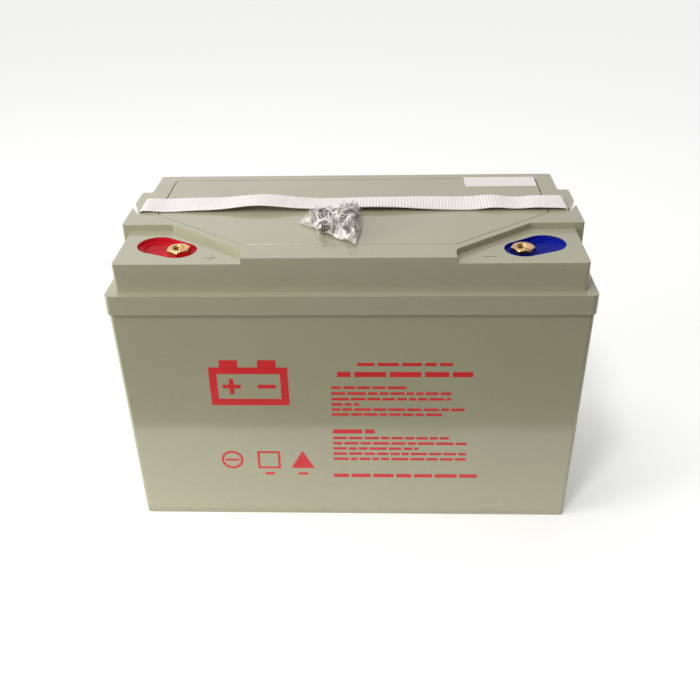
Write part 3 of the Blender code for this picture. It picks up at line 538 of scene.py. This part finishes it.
def pip(name, centre, outward):
    """A low dome. At latitude t it stands PIP_R sin(t) out from its axis and PIP_RISE cos(t) up."""
    rings, steps = 7, 20
    latitude = np.linspace(0, math.pi / 2, rings)[:, None]
    turn = np.linspace(0, 2 * math.pi, steps, endpoint=False)[None, :]
    flat_a = PIP_R * np.sin(latitude) * np.cos(turn)
    flat_b = PIP_R * np.sin(latitude) * np.sin(turn)
    rise = PIP_RISE * np.cos(latitude) + 0 * turn
    if outward == "up":
        points = np.stack([flat_a, flat_b, rise], -1)
    else:
        points = np.stack([flat_a, -rise, flat_b], -1)
    points = points.reshape(-1, 3) + np.array(centre) * MM
    mark = make_mesh(name, points, grid_faces(rings, steps, False, True), lid_plastic)
    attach(mark, "battery")


LID_TOP = PLATEAU_Z / MM
LEDGE_WALL_Y = -79.6
pip("pin_mark_back", (-117.3, 67.6, LID_TOP), "up")
pip("pin_mark_left", (-143.6, -5.4, LID_TOP), "up")
pip("pin_mark_middle", (-81.8, -17.8, LID_TOP), "up")
pip("gate_mark", (140.3, LEDGE_WALL_Y, 206.2), "front")


# ---------------------------------------------------------------------------------------------
# Weld flash. The heat weld squeezes a thin uneven bead of ABS out under the lid's skirt. Where it
# was stretched it has gone white. Its radius is a base plus four sines of the way round the lid.

SKIRT_CORNER = 5 * MM
BEAD_IN_X = 0.9 * MM
BEAD_IN_Y = 1.5 * MM
BEAD_SUNK = 0.05 * MM
BEAD_FLAT = 0.8
BEAD_STEPS = 1800
BEAD_SIDES = 8


def rounded_rectangle(half_x, half_y, radius, count):
    """Points spaced evenly along a rectangle with round corners, and their outward normals."""
    corner = math.pi / 2 * radius
    runs = np.array([2 * (half_x - radius), corner, 2 * (half_y - radius), corner] * 2)
    ends = np.concatenate([[0], np.cumsum(runs)])
    s = np.arange(count) / count * ends[-1]
    run = np.searchsorted(ends, s, side="right") - 1
    along = s - ends[run]
    side = run // 2
    base = side * math.pi / 2 - math.pi / 2
    turned = np.where(run % 2 == 1, along / radius, 0)
    normal_angle = base + turned
    centre_x = np.array([1, 1, -1, -1])[side] * (half_x - radius)
    centre_y = np.array([-1, 1, 1, -1])[side] * (half_y - radius)
    length = runs[run]
    back = np.where(run % 2 == 0, length - along, 0)
    x = centre_x + radius * np.cos(normal_angle) + back * np.sin(base)
    y = centre_y + radius * np.sin(normal_angle) - back * np.cos(base)
    return x, y, np.cos(normal_angle), np.sin(normal_angle)


flash_plastic = moulded_abs("stress_whitened_abs_flash", "#A9A68F", "#E2DFD0", 0.3)
bead_x, bead_y, out_x, out_y = rounded_rectangle(
    lid_high.x - BEAD_IN_X, lid_high.y - BEAD_IN_Y, SKIRT_CORNER, BEAD_STEPS
)
bead_draw = np.random.default_rng(3)
beat = np.arange(BEAD_STEPS) / BEAD_STEPS * 2 * math.pi
swell = sum(
    np.sin(k * beat + p) for k, p in zip((31, 57, 103, 171), bead_draw.uniform(0, 6, 4))
)
bead_r = (0.30 + 0.11 * swell.clip(-1.5, 2.6)) * MM
bead_turn = np.linspace(0, 2 * math.pi, BEAD_SIDES, endpoint=False)
reach = bead_r[:, None] * np.cos(bead_turn)
bead = np.stack(
    [
        bead_x[:, None] + out_x[:, None] * reach,
        bead_y[:, None] + out_y[:, None] * reach,
        lid_low.z - BEAD_SUNK + bead_r[:, None] * np.sin(bead_turn) * BEAD_FLAT,
    ],
    -1,
)
weld = make_mesh(
    "weld_bead", bead.reshape(-1, 3), grid_faces(BEAD_STEPS, BEAD_SIDES, True, True), flash_plastic
)
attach(weld, "battery")


# ---------------------------------------------------------------------------------------------
# Terminals. M8 inserts turned and milled from hexagonal brass bar, cast into the lead posts. The
# cut faces are bright, with fine scratches, and the thread shows in the bore.

THREAD = 1.25 * MM
THREAD_DEPTH = 0.28 * MM
BORE_TURNS = 9
BORE_R = 3.4 * MM
FLATS = 14.7 * MM
CHAMFER = 1.0 * MM
CHAMFER_SLOPE = 1.5
TARNISH = 4.76 * MM
SCRATCH = 0.4 * MM
TURNS = {"positive": math.pi / 6, "negative": 0}
AROUND = 96

brass, tree, shader = new_material("machined_brass", Metallic=1.0)
place = add(tree, "TexCoord").outputs["Object"]
tarnish = add(
    tree, "TexNoise", {"Vector": place, "Scale": 1 / TARNISH, "Detail": 5.0}
).outputs["Fac"]
vary(tree, shader, "Base Color", tarnish, (0.3, linear("#D3A567")), (0.7, linear("#EDCB98")))
vary(tree, shader, "Roughness", tarnish, (0.3, grey(0.28)), (0.7, grey(0.16)))
scratch = add(
    tree, "TexNoise", {"Vector": place, "Scale": 1 / SCRATCH, "Detail": 2.0}
).outputs["Fac"]
cut = add(tree, "Bump", {"Height": scratch, "Distance": 0.01 * MM, "Strength": 0.6})
tree.links.new(cut.outputs["Normal"], shader.inputs["Normal"])


def hexagon_radius(angle, flats):
    """Distance from a hexagon's middle to its side at each angle, with corners at 0 and 60."""
    return flats / 2 / np.cos(angle % (math.pi / 3) - math.pi / 6)


def terminal_mesh(name, x, y, low, high, turn, material):
    """Rings from the foot up the hexagon, over a turned chamfer, and down the threaded bore.

    Hexagon ring: the lesser of the hexagon and a cone that falls from the rim of the flat top.
    Thread ring at depth d and angle a: bore radius + thread depth x (1 + cos(2 pi d / pitch + a)).
    """
    angle = np.linspace(0, 2 * math.pi, AROUND, endpoint=False)
    side = hexagon_radius(angle + turn, FLATS)
    rings = [(side * 0 + BORE_R + 1.2 * MM, low), (side, low), (side, high - 3.2 * MM)]
    for k in range(9):
        drop = CHAMFER * (1 - k / 8)
        cone = FLATS / 2 - 0.25 * MM + drop * CHAMFER_SLOPE
        rings.append((np.minimum(side, cone), high - drop))
    rings.append((side * 0 + BORE_R + 1.1 * MM, high))
    rings.append((side * 0 + BORE_R + 0.5 * MM, high - 0.6 * MM))
    for depth in np.arange(0, BORE_TURNS * 10) / 10 * THREAD:
        wave = np.cos(2 * math.pi * depth / THREAD + angle)
        rings.append((BORE_R + THREAD_DEPTH + THREAD_DEPTH * wave, high - 0.7 * MM - depth))
    rings.append((side * 0 + 0.02 * MM, high - 0.8 * MM - BORE_TURNS * THREAD))
    radii = np.stack([np.broadcast_to(r, angle.shape) for r, _ in rings])
    heights = np.array([z for _, z in rings])[:, None] + 0 * radii
    points = np.stack([x + radii * np.cos(angle), y + radii * np.sin(angle), heights], -1)
    faces = grid_faces(len(rings), AROUND, False, True)
    return make_mesh(name, points.reshape(-1, 3), faces, material)


for sign in ("positive", "negative"):
    low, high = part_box(f"terminal_{sign}")
    x, y = (low.x + high.x) / 2, (low.y + high.y) / 2
    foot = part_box(f"resin_seal_{sign}")[0].z
    turn = TURNS[sign]
    terminal = terminal_mesh(f"brass_terminal_{sign}", x, y, foot, high.z, turn, brass)
    bright = terminal.modifiers.new("Edges", "EDGE_SPLIT")
    bright.split_angle = math.radians(30)
    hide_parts(f"terminal_{sign}")
    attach(terminal, "battery")


# ---------------------------------------------------------------------------------------------
# Resin. Coloured epoxy poured round each terminal to seal the post. It wets the pocket's wall
# and the brass, and shrinks to a shallow dish where it is deepest.

RESIN_FLOW = 11.1 * MM
RESIN_SWELL = 4.55 * MM


def poured_epoxy(name, deep, bright):
    """Poured epoxy: deep colour, very glossy, with a few soft pale flow marks."""
    made, tree, shader = new_material(name, IOR=1.5)
    shader.inputs["Specular IOR Level"].default_value = 0.03
    place = add(tree, "TexCoord").outputs["Object"]
    flow = add(
        tree, "TexNoise", {"Vector": place, "Scale": 1 / RESIN_FLOW, "Detail": 3.0}
    ).outputs["Fac"]
    vary(tree, shader, "Base Color", flow, (0.3, linear(deep)), (0.72, linear(bright)))
    vary(tree, shader, "Roughness", flow, (0.3, grey(0.1)), (0.7, grey(0.2)))
    swell = add(
        tree, "TexNoise", {"Vector": place, "Scale": 1 / RESIN_SWELL, "Detail": 1.0}
    ).outputs["Fac"]
    soft = add(tree, "Bump", {"Height": swell, "Distance": 0.12 * MM, "Strength": 0.6})
    tree.links.new(soft.outputs["Normal"], shader.inputs["Normal"])
    return made


LEDGE_Z = 210.4 * MM
LEVEL_DROP = 1.1 * MM
POCKET_R = 12.6 * MM
BACK_R = 14.1 * MM
RUN_X, RUN_Y = 16.4 * MM, 8.9 * MM
WALL_GAP = 0.12 * MM
INNER_R = 6.4 * MM
WALL_WETTING = 0.35 * MM
BRASS_WETTING = 0.6 * MM
BRASS_CLIMB = 0.5 * MM
DISH_R = 10.6 * MM
DISH_EDGE = 2.6 * MM
DISH_DEPTH = 1.15 * MM
RESIN_AROUND = 180
resins = {
    "positive": (-1, poured_epoxy("poured_red_epoxy", "#B00A18", "#C81A2C")),
    "negative": (1, poured_epoxy("poured_blue_epoxy", "#030A74", "#071A98")),
}


def hull_reach(angle, side):
    """Distance from the terminal to the pocket's wall, which is the hull of two circles.

    The terminal stands in the first circle's middle. Each direction takes the least of the support
    lines h(n) / cos(n - angle) over all normals n.
    """
    normal = np.linspace(0, 2 * math.pi, 720, endpoint=False)
    run = side * RUN_X * np.cos(normal) + RUN_Y * np.sin(normal)
    support = np.maximum(POCKET_R, BACK_R + run) - WALL_GAP
    lean = np.cos(normal[:, None] - angle[None, :])
    reach = np.where(lean > 0.02, support[:, None] / np.maximum(lean, 0.02), 1.0)
    return reach.min(0)


# Each surface runs from the brass out to the wall and then down it. Its height is the level, plus a
# climb that dies away from the wall, a smaller one at the brass, less the round dish at the back.
for sign, (side, epoxy) in resins.items():
    low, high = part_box(f"resin_seal_{sign}")
    t_low, t_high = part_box(f"terminal_{sign}")
    x, y = (t_low.x + t_high.x) / 2, (t_low.y + t_high.y) / 2
    angle = np.linspace(0, 2 * math.pi, RESIN_AROUND, endpoint=False)
    outer = hull_reach(angle, side)
    inner = np.full_like(outer, INNER_R)
    across = np.concatenate([np.linspace(0, 1, 40) ** 0.9, [1.0]])
    radius = inner + (outer - inner) * across[:, None]
    px, py = x + radius * np.cos(angle), y + radius * np.sin(angle)
    from_wall = outer - radius
    from_brass = np.abs(radius - hexagon_radius(angle + TURNS[sign], FLATS))
    climb = (LEDGE_Z - 0.1 * MM - high.z + LEVEL_DROP) * np.exp(-from_wall / WALL_WETTING)
    brass_climb = BRASS_CLIMB * np.exp(-from_brass / BRASS_WETTING)
    away = np.hypot(px - (x + side * RUN_X), py - (y + RUN_Y))
    step = np.clip((DISH_R - away) / DISH_EDGE, 0, 1)
    dish = DISH_DEPTH * step * step * (3 - 2 * step)
    pz = high.z - LEVEL_DROP + climb + brass_climb - dish
    pz[-1] = low.z
    points = np.concatenate(
        [np.stack([px, py, pz], -1), np.stack([px[:1], py[:1], pz[:1] * 0 + low.z], -1)]
    )
    resin = make_mesh(
        f"resin_{sign}",
        points.reshape(-1, 3),
        grid_faces(len(points), RESIN_AROUND, True, True),
        epoxy,
    )
    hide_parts(f"resin_seal_{sign}")
    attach(resin, "battery")


# ---------------------------------------------------------------------------------------------
# Carrying strap. Flat polypropylene webbing, 25 mm wide, woven with thick cross ribs. Each end
# goes down a slot in the lid and round a zinc-plated pin. It lies slack in low waves.

WEBBING = 1.2 * MM
RIB = 2.32 * MM
RIB_HEIGHT = 0.17 * MM
BEND = 2.4 * MM
WRAP_DEGREES = 260
strap_low, strap_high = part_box("strap_middle")
strap_y = (strap_low.y + strap_high.y) / 2
half_width = (strap_high.y - strap_low.y) / 2
SLOT_X = 157 * MM
pin_low, pin_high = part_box("strap_pin_right")
pin_x, pin_z = (pin_low.x + pin_high.x) / 2, (pin_low.z + pin_high.z) / 2
PIN_REACH = pin_x - SLOT_X

# Woven polypropylene: nearly white, soft shine, with painted shade in the grooves between the ribs.
# The yarns follow the piece's own map in millimetres, along the strap and across it.
webbing_cloth, tree, shader = new_material("woven_polypropylene_webbing", Roughness=0.62)
shader.inputs["Sheen Weight"].default_value = 0.25
yarn_map = add(tree, "UVMap", uv_map="yarns").outputs["UV"]
warp = add(tree, "TexWave", {"Vector": yarn_map, "Scale": 0.31, "Distortion": 1.2, "Detail": 2.0},
           bands_direction="Y")
fleck = add(tree, "TexNoise", {"Vector": yarn_map, "Scale": 0.9, "Detail": 4.0}).outputs["Fac"]
pale = ramp(tree, fleck, [(0.3, linear("#F1ECE9")), (0.7, linear("#FBF8F6"))])
beat = add(tree, "TexWave", {"Vector": yarn_map, "Scale": math.pi / 10 / (RIB / MM),
                             "Distortion": 0.25, "Phase Offset": math.pi / 2},
           bands_direction="X").outputs["Fac"]
# Painted shade: the grooves between the ribs are coloured darker.
painted_groove_shade = ramp(tree, beat, [(0.0, linear("#E2DEDB")), (0.4, linear("#FFFFFF"))])
cloth_colour = add(tree, "Mix", {"Factor": 1.0, 6: pale, 7: painted_groove_shade}, data_type="RGBA",
                   blend_type="MULTIPLY")
tree.links.new(cloth_colour.outputs[2], shader.inputs["Base Color"])
warp_bump = add(tree, "Bump", {"Height": warp.outputs["Fac"], "Distance": 0.12 * MM,
                               "Strength": 0.7}).outputs["Normal"]
hair = add(tree, "Bump", {"Height": fleck, "Distance": 0.05 * MM, "Normal": warp_bump})
tree.links.new(hair.outputs["Normal"], shader.inputs["Normal"])


def strap_rise(x):
    """Height of the webbing's middle layer over the lid: low waves, each a bell curve.

    Each wave is its place along X, its height and its width, in millimetres.
    """
    waves = ((-68, 3.9, 27), (-115, 0.8, 18), (20, 1.7, 46), (104, 1.7, 12), (136, 1.3, 12))
    rise = sum(h * np.exp(-(((x / MM - at) / width) ** 2)) for at, h, width in waves)
    end = 0.8 * np.exp(-(((np.abs(x) / MM - 152) / 9) ** 2))
    return 0.3 * MM + WEBBING / 2 + (rise + end) * MM


def strap_lean(x):
    """How far the front edge stands over the middle: the bag under it lifts it near the centre."""
    return (1.25 * np.exp(-(((x / MM + 12) / 42) ** 2)) + 0.35 * np.sin(x / (17 * MM))) * MM


def strap_path(side):
    """Middle layer of one half as (x, z), from the lid's centre to the cut end under the hook."""
    bend_x = SLOT_X - BEND
    x = np.linspace(0, bend_x, 700)
    z = PLATEAU_Z + strap_rise(side * x)
    quarter = np.linspace(0, math.pi / 2, 14)[1:]
    bend = (bend_x + BEND * np.sin(quarter), z[-1] - BEND * (1 - np.cos(quarter)))
    drop_z = np.linspace(bend[1][-1], pin_z, 16)[1:]
    drop = (np.full_like(drop_z, SLOT_X), drop_z)
    wrap = math.pi + np.radians(np.linspace(0, WRAP_DEGREES, 70)[1:])
    hook = (pin_x + PIN_REACH * np.cos(wrap), pin_z + PIN_REACH * np.sin(wrap))
    runs = ((x, z), bend, drop, hook)
    return np.concatenate([run[0] for run in runs]), np.concatenate([run[1] for run in runs])


def webbing_half(name, side):
    """A strip swept along the path. Its section is a flat loop whose faces carry the ribs.

    Rib height at arc length s is RIB_HEIGHT times the square root of |sin(pi s / pitch)|.
    """
    path_x, path_z = strap_path(side)
    steps = np.hypot(np.diff(path_x), np.diff(path_z))
    length = np.concatenate([[0], np.cumsum(steps)])
    s = np.arange(0, length[-1], RIB / 9)
    path_x, path_z = np.interp(s, length, path_x), np.interp(s, length, path_z)
    run_x, run_z = np.gradient(path_x, s), np.gradient(path_z, s)
    scale = np.hypot(run_x, run_z)
    normal_x, normal_z = -run_z / scale, run_x / scale
    rib = RIB_HEIGHT * np.sqrt(np.abs(np.sin(math.pi * s / RIB)))
    across = np.linspace(-1, 1, 19)
    edge = np.sqrt(1 - np.clip((np.abs(across) - 0.955) / 0.045, 0, 1) ** 2)
    half = (WEBBING / 2 - 0.1 * MM + rib[:, None]) * (0.35 + 0.65 * edge)
    ease = np.clip((150 * MM - path_x) / (20 * MM), 0, 1)
    lean = (strap_lean(side * path_x) * ease)[:, None] * -across
    wave = 1 + 0.012 * np.sin(s / (7 * MM))[:, None] * ease[:, None]
    rows = []
    for face in (1, -1):
        order = across if face == 1 else across[::-1]
        thick = half if face == 1 else half[:, ::-1]
        tilt = lean if face == 1 else lean[:, ::-1]
        rows.append(
            np.stack(
                [
                    side * (path_x[:, None] + face * thick * normal_x[:, None]),
                    strap_y + half_width * order * wave,
                    path_z[:, None] + face * thick * normal_z[:, None] + tilt,
                ],
                -1,
            )
        )
    loop = np.concatenate(rows, 1)
    on_lid = path_x < SLOT_X - BEND
    loop[on_lid, :, 2] = np.maximum(loop[on_lid, :, 2], PLATEAU_Z + 0.12 * MM)
    count = loop.shape[1]
    faces = grid_faces(len(s), count, False, True)
    if side < 0:
        faces = faces[:, ::-1]
    piece = make_mesh(name, loop.reshape(-1, 3), faces, webbing_cloth)
    shape = bmesh.new()
    shape.from_mesh(piece.data)
    shape.verts.ensure_lookup_table()
    layer = shape.loops.layers.uv.new("yarns")
    s_mm = s / MM
    v_mm = np.concatenate([across, across[::-1]]) * half_width / MM
    for face in shape.faces:
        for corner in face.loops:
            row, column = divmod(corner.vert.index, count)
            corner[layer].uv = (s_mm[row], v_mm[column])
    shape.to_mesh(piece.data)
    shape.free()
    return piece


for name, side in (("webbing_left", -1), ("webbing_right", 1)):
    half_strap = webbing_half(name, side)
    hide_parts(f"strap_end_{'left' if side < 0 else 'right'}")
    if side > 0:
        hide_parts("strap_middle")
    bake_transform(half_strap)


# ---------------------------------------------------------------------------------------------
# Steelwork. The strap's two pins, and the bolts, flat washers and spring washers in the bag, are
# steel with a bright zinc plating: cool grey, with a faint spangle and uneven shine.

SPANGLE = 2 * MM

zinc, tree, shader = new_material("zinc_plated_steel", Metallic=1.0)
place = add(tree, "TexCoord").outputs["Object"]
spangle = add(
    tree, "TexNoise", {"Vector": place, "Scale": 1 / SPANGLE, "Detail": 3.0}
).outputs["Fac"]
vary(tree, shader, "Base Color", spangle, (0.3, linear("#8A8683")), (0.7, linear("#BFBBB7")))
vary(tree, shader, "Roughness", spangle, (0.3, grey(0.2)), (0.7, grey(0.36)))

for node_name in ("strap_pin_left", "strap_pin_right"):
    pin = welded_copy(node_name, node_name.replace("strap_pin", "strap_rod"), zinc)
    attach(pin, "battery")
for node_name in ("flat_washer_1", "flat_washer_2", "spring_washer_1", "spring_washer_2"):
    steel = welded_copy(node_name, "bag_" + node_name, zinc)
    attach(steel, "bolt_bag")

BOLT_FLATS = 13 * MM
BOLT_HEAD = 5.3 * MM
BOLT_LENGTH = 20 * MM
BOLT_R = 4 * MM
BOLT_THREAD_DEPTH = 0.55 * MM
BOLT_LEAN = math.radians(5)
BOLT_AROUND = 48


def bolt_mesh(name, head_middle, heading):
    """Rings along the bolt from the head's outer face: hexagon, collar, rolled thread, round point.

    Thread ring at depth d and angle a: radius - thread depth x (1 + cos(2 pi d / pitch + a)) / 2.
    """
    angle = np.linspace(0, 2 * math.pi, BOLT_AROUND, endpoint=False)
    side = hexagon_radius(angle, BOLT_FLATS)
    rings = [(side * 0 + 0.02 * MM, 0.0), (side * 0 + BOLT_FLATS / 2 - 0.4 * MM, 0.0)]
    for k in range(5):
        drop = 0.8 * MM * k / 4
        rings.append((np.minimum(side, BOLT_FLATS / 2 - 0.3 * MM + drop * 1.8), drop))
    rings += [(side, BOLT_HEAD - 0.1 * MM), (side * 0.98, BOLT_HEAD)]
    rings.append((side * 0 + BOLT_R, BOLT_HEAD))
    for depth in np.arange(0, BOLT_LENGTH - 1 * MM, THREAD / 8):
        wave = 0.5 + 0.5 * np.cos(2 * math.pi * depth / THREAD + angle)
        rings.append((BOLT_R - BOLT_THREAD_DEPTH * wave, BOLT_HEAD + depth))
    rings.append((side * 0 + BOLT_R - 1 * MM, BOLT_HEAD + BOLT_LENGTH))
    rings.append((side * 0 + 0.02 * MM, BOLT_HEAD + BOLT_LENGTH))
    radii = np.stack([np.broadcast_to(r, angle.shape) for r, _ in rings])
    along = np.array([d for _, d in rings])[:, None] + 0 * radii
    aside = radii * np.cos(angle)
    up = radii * np.sin(angle) * math.cos(BOLT_LEAN) - along * math.sin(BOLT_LEAN) + 0.25 * MM
    x, y, z = head_middle
    way_x, way_y = math.cos(heading), math.sin(heading)
    points = np.stack(
        [x + along * way_x - aside * way_y, y + along * way_y + aside * way_x, z + up], -1
    )
    faces = grid_faces(len(rings), BOLT_AROUND, False, True)
    bolt = make_mesh(name, points.reshape(-1, 3), faces, zinc)
    crisp = bolt.modifiers.new("Edges", "EDGE_SPLIT")
    crisp.split_angle = math.radians(35)
    return bolt


for node_name, heading in (("hex_bolt_1", math.pi / 2), ("hex_bolt_2", math.pi)):
    low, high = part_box(node_name)
    middle_z = (low.z + high.z) / 2
    if heading == math.pi:
        head_middle = (high.x, (low.y + high.y) / 2, middle_z)
    else:
        head_middle = ((low.x + high.x) / 2, low.y, middle_z)
    bolt = bolt_mesh("threaded_" + node_name, head_middle, heading)
    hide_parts(node_name)
    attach(bolt, "bolt_bag")


# ---------------------------------------------------------------------------------------------
# Bag. Thin clear polyethylene film, heat-sealed along its right edge and crumpled over the bolts.
# Painted white highlights sit on the sharp creases, and the flat bits between them are nearly
# clear. The sizes in this section are in millimetres until the points are made.

bag_low, bag_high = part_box("accessory_bag")
CORNERS = ((-37.4, -21.6), (4.3, -62.4), (7.4, -5.0), (-20.5, -1.0))
EDGE_LENGTH = 46
FILM_STEPS = 210
SEAL_LINES = (0.3, 1.7, 3.2)
SEAL_LINE_WIDTH = 0.28
RIM_HEIGHT = 0.5
RIM_SLOPE = 3.4
FLAT_HEIGHT = 1.2
TENT_SLOPE = 1.28
BIG_PITCH, BIG_HEIGHT = 26, 1.3
SMALL_PITCH, SMALL_HEIGHT = 10, 0.55
HAZE = 7.14 * MM

film, tree, shader = new_material("crumpled_clear_film", Roughness=0.1, IOR=1.5)
shader.inputs["Coat Weight"].default_value = 0.5
shader.inputs["Coat Roughness"].default_value = 0.03
# Painted highlights on the creases, with the seal's white lines, make the film whiter and less
# clear.
seal_and_painted_glint = add(tree, "Attribute", attribute_name="seal_and_painted_glint").outputs["Fac"]
place = add(tree, "TexCoord").outputs["Object"]
haze = add(tree, "TexNoise", {"Vector": place, "Scale": 1 / HAZE, "Detail": 4.0}).outputs["Fac"]
vary(tree, shader, "Base Color", haze, (0.3, linear("#EDE8E5")), (0.7, linear("#FFFDFB")))
hidden = add(tree, "Math", {0: seal_and_painted_glint, 1: haze, 2: -0.12}, operation="MULTIPLY_ADD").outputs[0]
vary(tree, shader, "Alpha", hidden, (0.0, grey(0.12)), (0.5, grey(0.92)))

fold_draw = np.random.default_rng(11)


def smooth_noise(x, y, waves, pitch):
    """A sum of sines in random directions, from about -1 to 1."""
    total = 0
    for heading, phase, stretch in zip(
        fold_draw.uniform(0, math.pi, waves),
        fold_draw.uniform(0, 2 * math.pi, waves),
        fold_draw.uniform(0.7, 1.5, waves),
    ):
        along = x * math.cos(heading) + y * math.sin(heading)
        total = total + np.sin(2 * math.pi * along / (pitch * stretch) + phase)
    return total / math.sqrt(waves)


def crumple(x, y, folds, pitch):
    """Sharp curved ridges, 0 to 1: each the peak of 1 - |noise|, taken over a few noises."""
    ridge = np.zeros_like(x)
    for _ in range(folds):
        ridge = np.maximum(ridge, 1 - np.abs(smooth_noise(x, y, 3, pitch)) * 1.6)
    return ridge.clip(0, 1)


# Film grid: u runs towards the sealed right edge, v from front to back, and each point is the
# weighted mean of the four corners. The seal's middle bulges out.
u, v = np.meshgrid(np.linspace(0, 1, FILM_STEPS), np.linspace(0, 1, FILM_STEPS), indexing="ij")
film_x, film_y = (
    (1 - u) * (1 - v) * CORNERS[0][i]
    + u * (1 - v) * CORNERS[1][i]
    + u * v * CORNERS[2][i]
    + (1 - u) * v * CORNERS[3][i]
    for i in (0, 1)
)
bulge = 1.6 * np.sin(math.pi * v) * np.exp(-((1 - u) / 0.16))
film_x = film_x + bulge
rim = np.minimum(np.minimum(u, 1 - u), np.minimum(v, 1 - v))


def over(x0, y0, x1, y1, radius, height, drop):
    """A tent over a lying piece from (x0, y0) to (x1, y1), in millimetres.

    Its height falls by drop along the piece's line. Within radius of the line it is flat across,
    and farther out it goes down at 52 degrees.
    """
    run_x, run_y = x1 - x0, y1 - y0
    t = ((film_x - x0) * run_x + (film_y - y0) * run_y) / max(run_x**2 + run_y**2, 1e-9)
    t = t.clip(0, 1)
    away = np.hypot(film_x - x0 - t * run_x, film_y - y0 - t * run_y)
    return height - drop * t - TENT_SLOPE * (away - radius).clip(0, None)


tents = np.stack(
    [
        over(-1.0, -26.8, -1.0, -24.0, 6.2, 14.2, 0.0),  # the first bolt's head
        over(-1.0, -22.0, -1.0, -3.6, 3.4, 11.6, 2.0),  # and its shank
        over(3.0, -40.0, 0.4, -40.0, 6.4, 14.3, 0.0),  # the second bolt's head
        over(-1.5, -40.0, -20.6, -40.0, 3.4, 11.6, 2.0),  # and its shank
        over(-19.5, -19.0, -19.5, -19.0, 7.4, 9.6, 0.0),  # the pile of washers
    ]
)

# The film hangs on the tents' soft maximum, closes to its rim, and lies low and flat elsewhere.
held = np.log(np.exp(tents).sum(0))
rim_mm = rim * EDGE_LENGTH
rise = np.minimum(held, RIM_HEIGHT + rim_mm * RIM_SLOPE)
low_film = FLAT_HEIGHT * np.exp((rise - FLAT_HEIGHT).clip(-20, 0) / 3)
rise = np.where(rise < FLAT_HEIGHT, low_film, rise)
slack = np.tanh(rim_mm / 5)
big = crumple(film_x, film_y, 3, BIG_PITCH)
small = crumple(film_x + 2 * big, film_y, 3, SMALL_PITCH)
creased = big**2 * BIG_HEIGHT + small**2 * SMALL_HEIGHT
rise = rise + slack * creased + 0.25 * smooth_noise(film_x, film_y, 4, 5) * slack
edge_curl = (1.1 + 1.3 * smooth_noise(film_x, film_y, 3, 22)).clip(0.15, 3.2) * (1 - slack)
ceiling = (bag_high.z - bag_low.z) / MM + 1.2
top = np.minimum(rise + edge_curl, ceiling)
bottom = np.full_like(top, 0.15) + edge_curl * 0.75
border = rim <= 0
bottom[border] = top[border]
shift = 0.9 * slack
sheet_top = np.stack(
    [film_x + shift * smooth_noise(film_x, film_y, 3, 12), film_y, bag_low.z / MM + top], -1
)
sheet_bottom = np.stack([film_x, film_y, bag_low.z / MM + bottom], -1)
points = np.concatenate([sheet_top.reshape(-1, 3), sheet_bottom.reshape(-1, 3)]) * MM
faces = grid_faces(FILM_STEPS, FILM_STEPS)
count = FILM_STEPS * FILM_STEPS
bag = make_mesh("crumpled_bag", points, np.concatenate([faces[:, ::-1], faces + count]), film)

# Painted white highlights on the sharpest creases, white on the seal's lines, and whiter along the
# rim; less on the under sheet.
from_seal = (1 - u) * EDGE_LENGTH
seal_lines = sum(np.exp(-((from_seal - at) / SEAL_LINE_WIDTH) ** 2) for at in SEAL_LINES)
# Painted highlight: the sharpest creases are made white.
painted_crease_glint = small**4 + big**5
white = (0.9 * painted_crease_glint + 0.75 * seal_lines + 0.7 * np.exp(-rim_mm / 0.6)).clip(0, 1)
both_sheets = np.concatenate([white.ravel(), white.ravel() * 0.4]).astype(np.float32)
bag.data.attributes.new("seal_and_painted_glint", "FLOAT", "POINT").data.foreach_set("value", both_sheets)
shape = bmesh.new()
shape.from_mesh(bag.data)
bmesh.ops.remove_doubles(shape, verts=shape.verts, dist=1e-6)
bmesh.ops.recalc_face_normals(shape, faces=shape.faces)
shape.to_mesh(bag.data)
shape.free()
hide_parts("accessory_bag")
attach(bag, "bolt_bag")


# ---------------------------------------------------------------------------------------------
# Sticker. A coated white paper label stuck on the vent plate, printed with a few faint grey
# lines that stand for its small print.

PRINT_LINE = 5.24 * MM
PRINT_WORD = 2.5 * MM

label_paper, tree, shader = new_material("coated_label_paper", Roughness=0.45, IOR=1.45)
place = add(tree, "TexCoord").outputs["Object"]
line = add(tree, "TexWave", {"Vector": place, "Scale": math.pi / 10 / PRINT_LINE,
                             "Distortion": 0.0}, bands_direction="Y").outputs["Fac"]
word = add(
    tree, "TexNoise", {"Vector": place, "Scale": 1 / PRINT_WORD, "Detail": 1.0}
).outputs["Fac"]
faint = add(tree, "Math", {0: line, 1: word}, operation="MULTIPLY").outputs[0]
vary(tree, shader, "Base Color", faint, (0.3, linear("#ECE8E3")), (0.75, linear("#D6D1CD")))
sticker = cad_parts["label_sticker"]
sticker.data.materials.clear()
sticker.data.materials.append(label_paper)
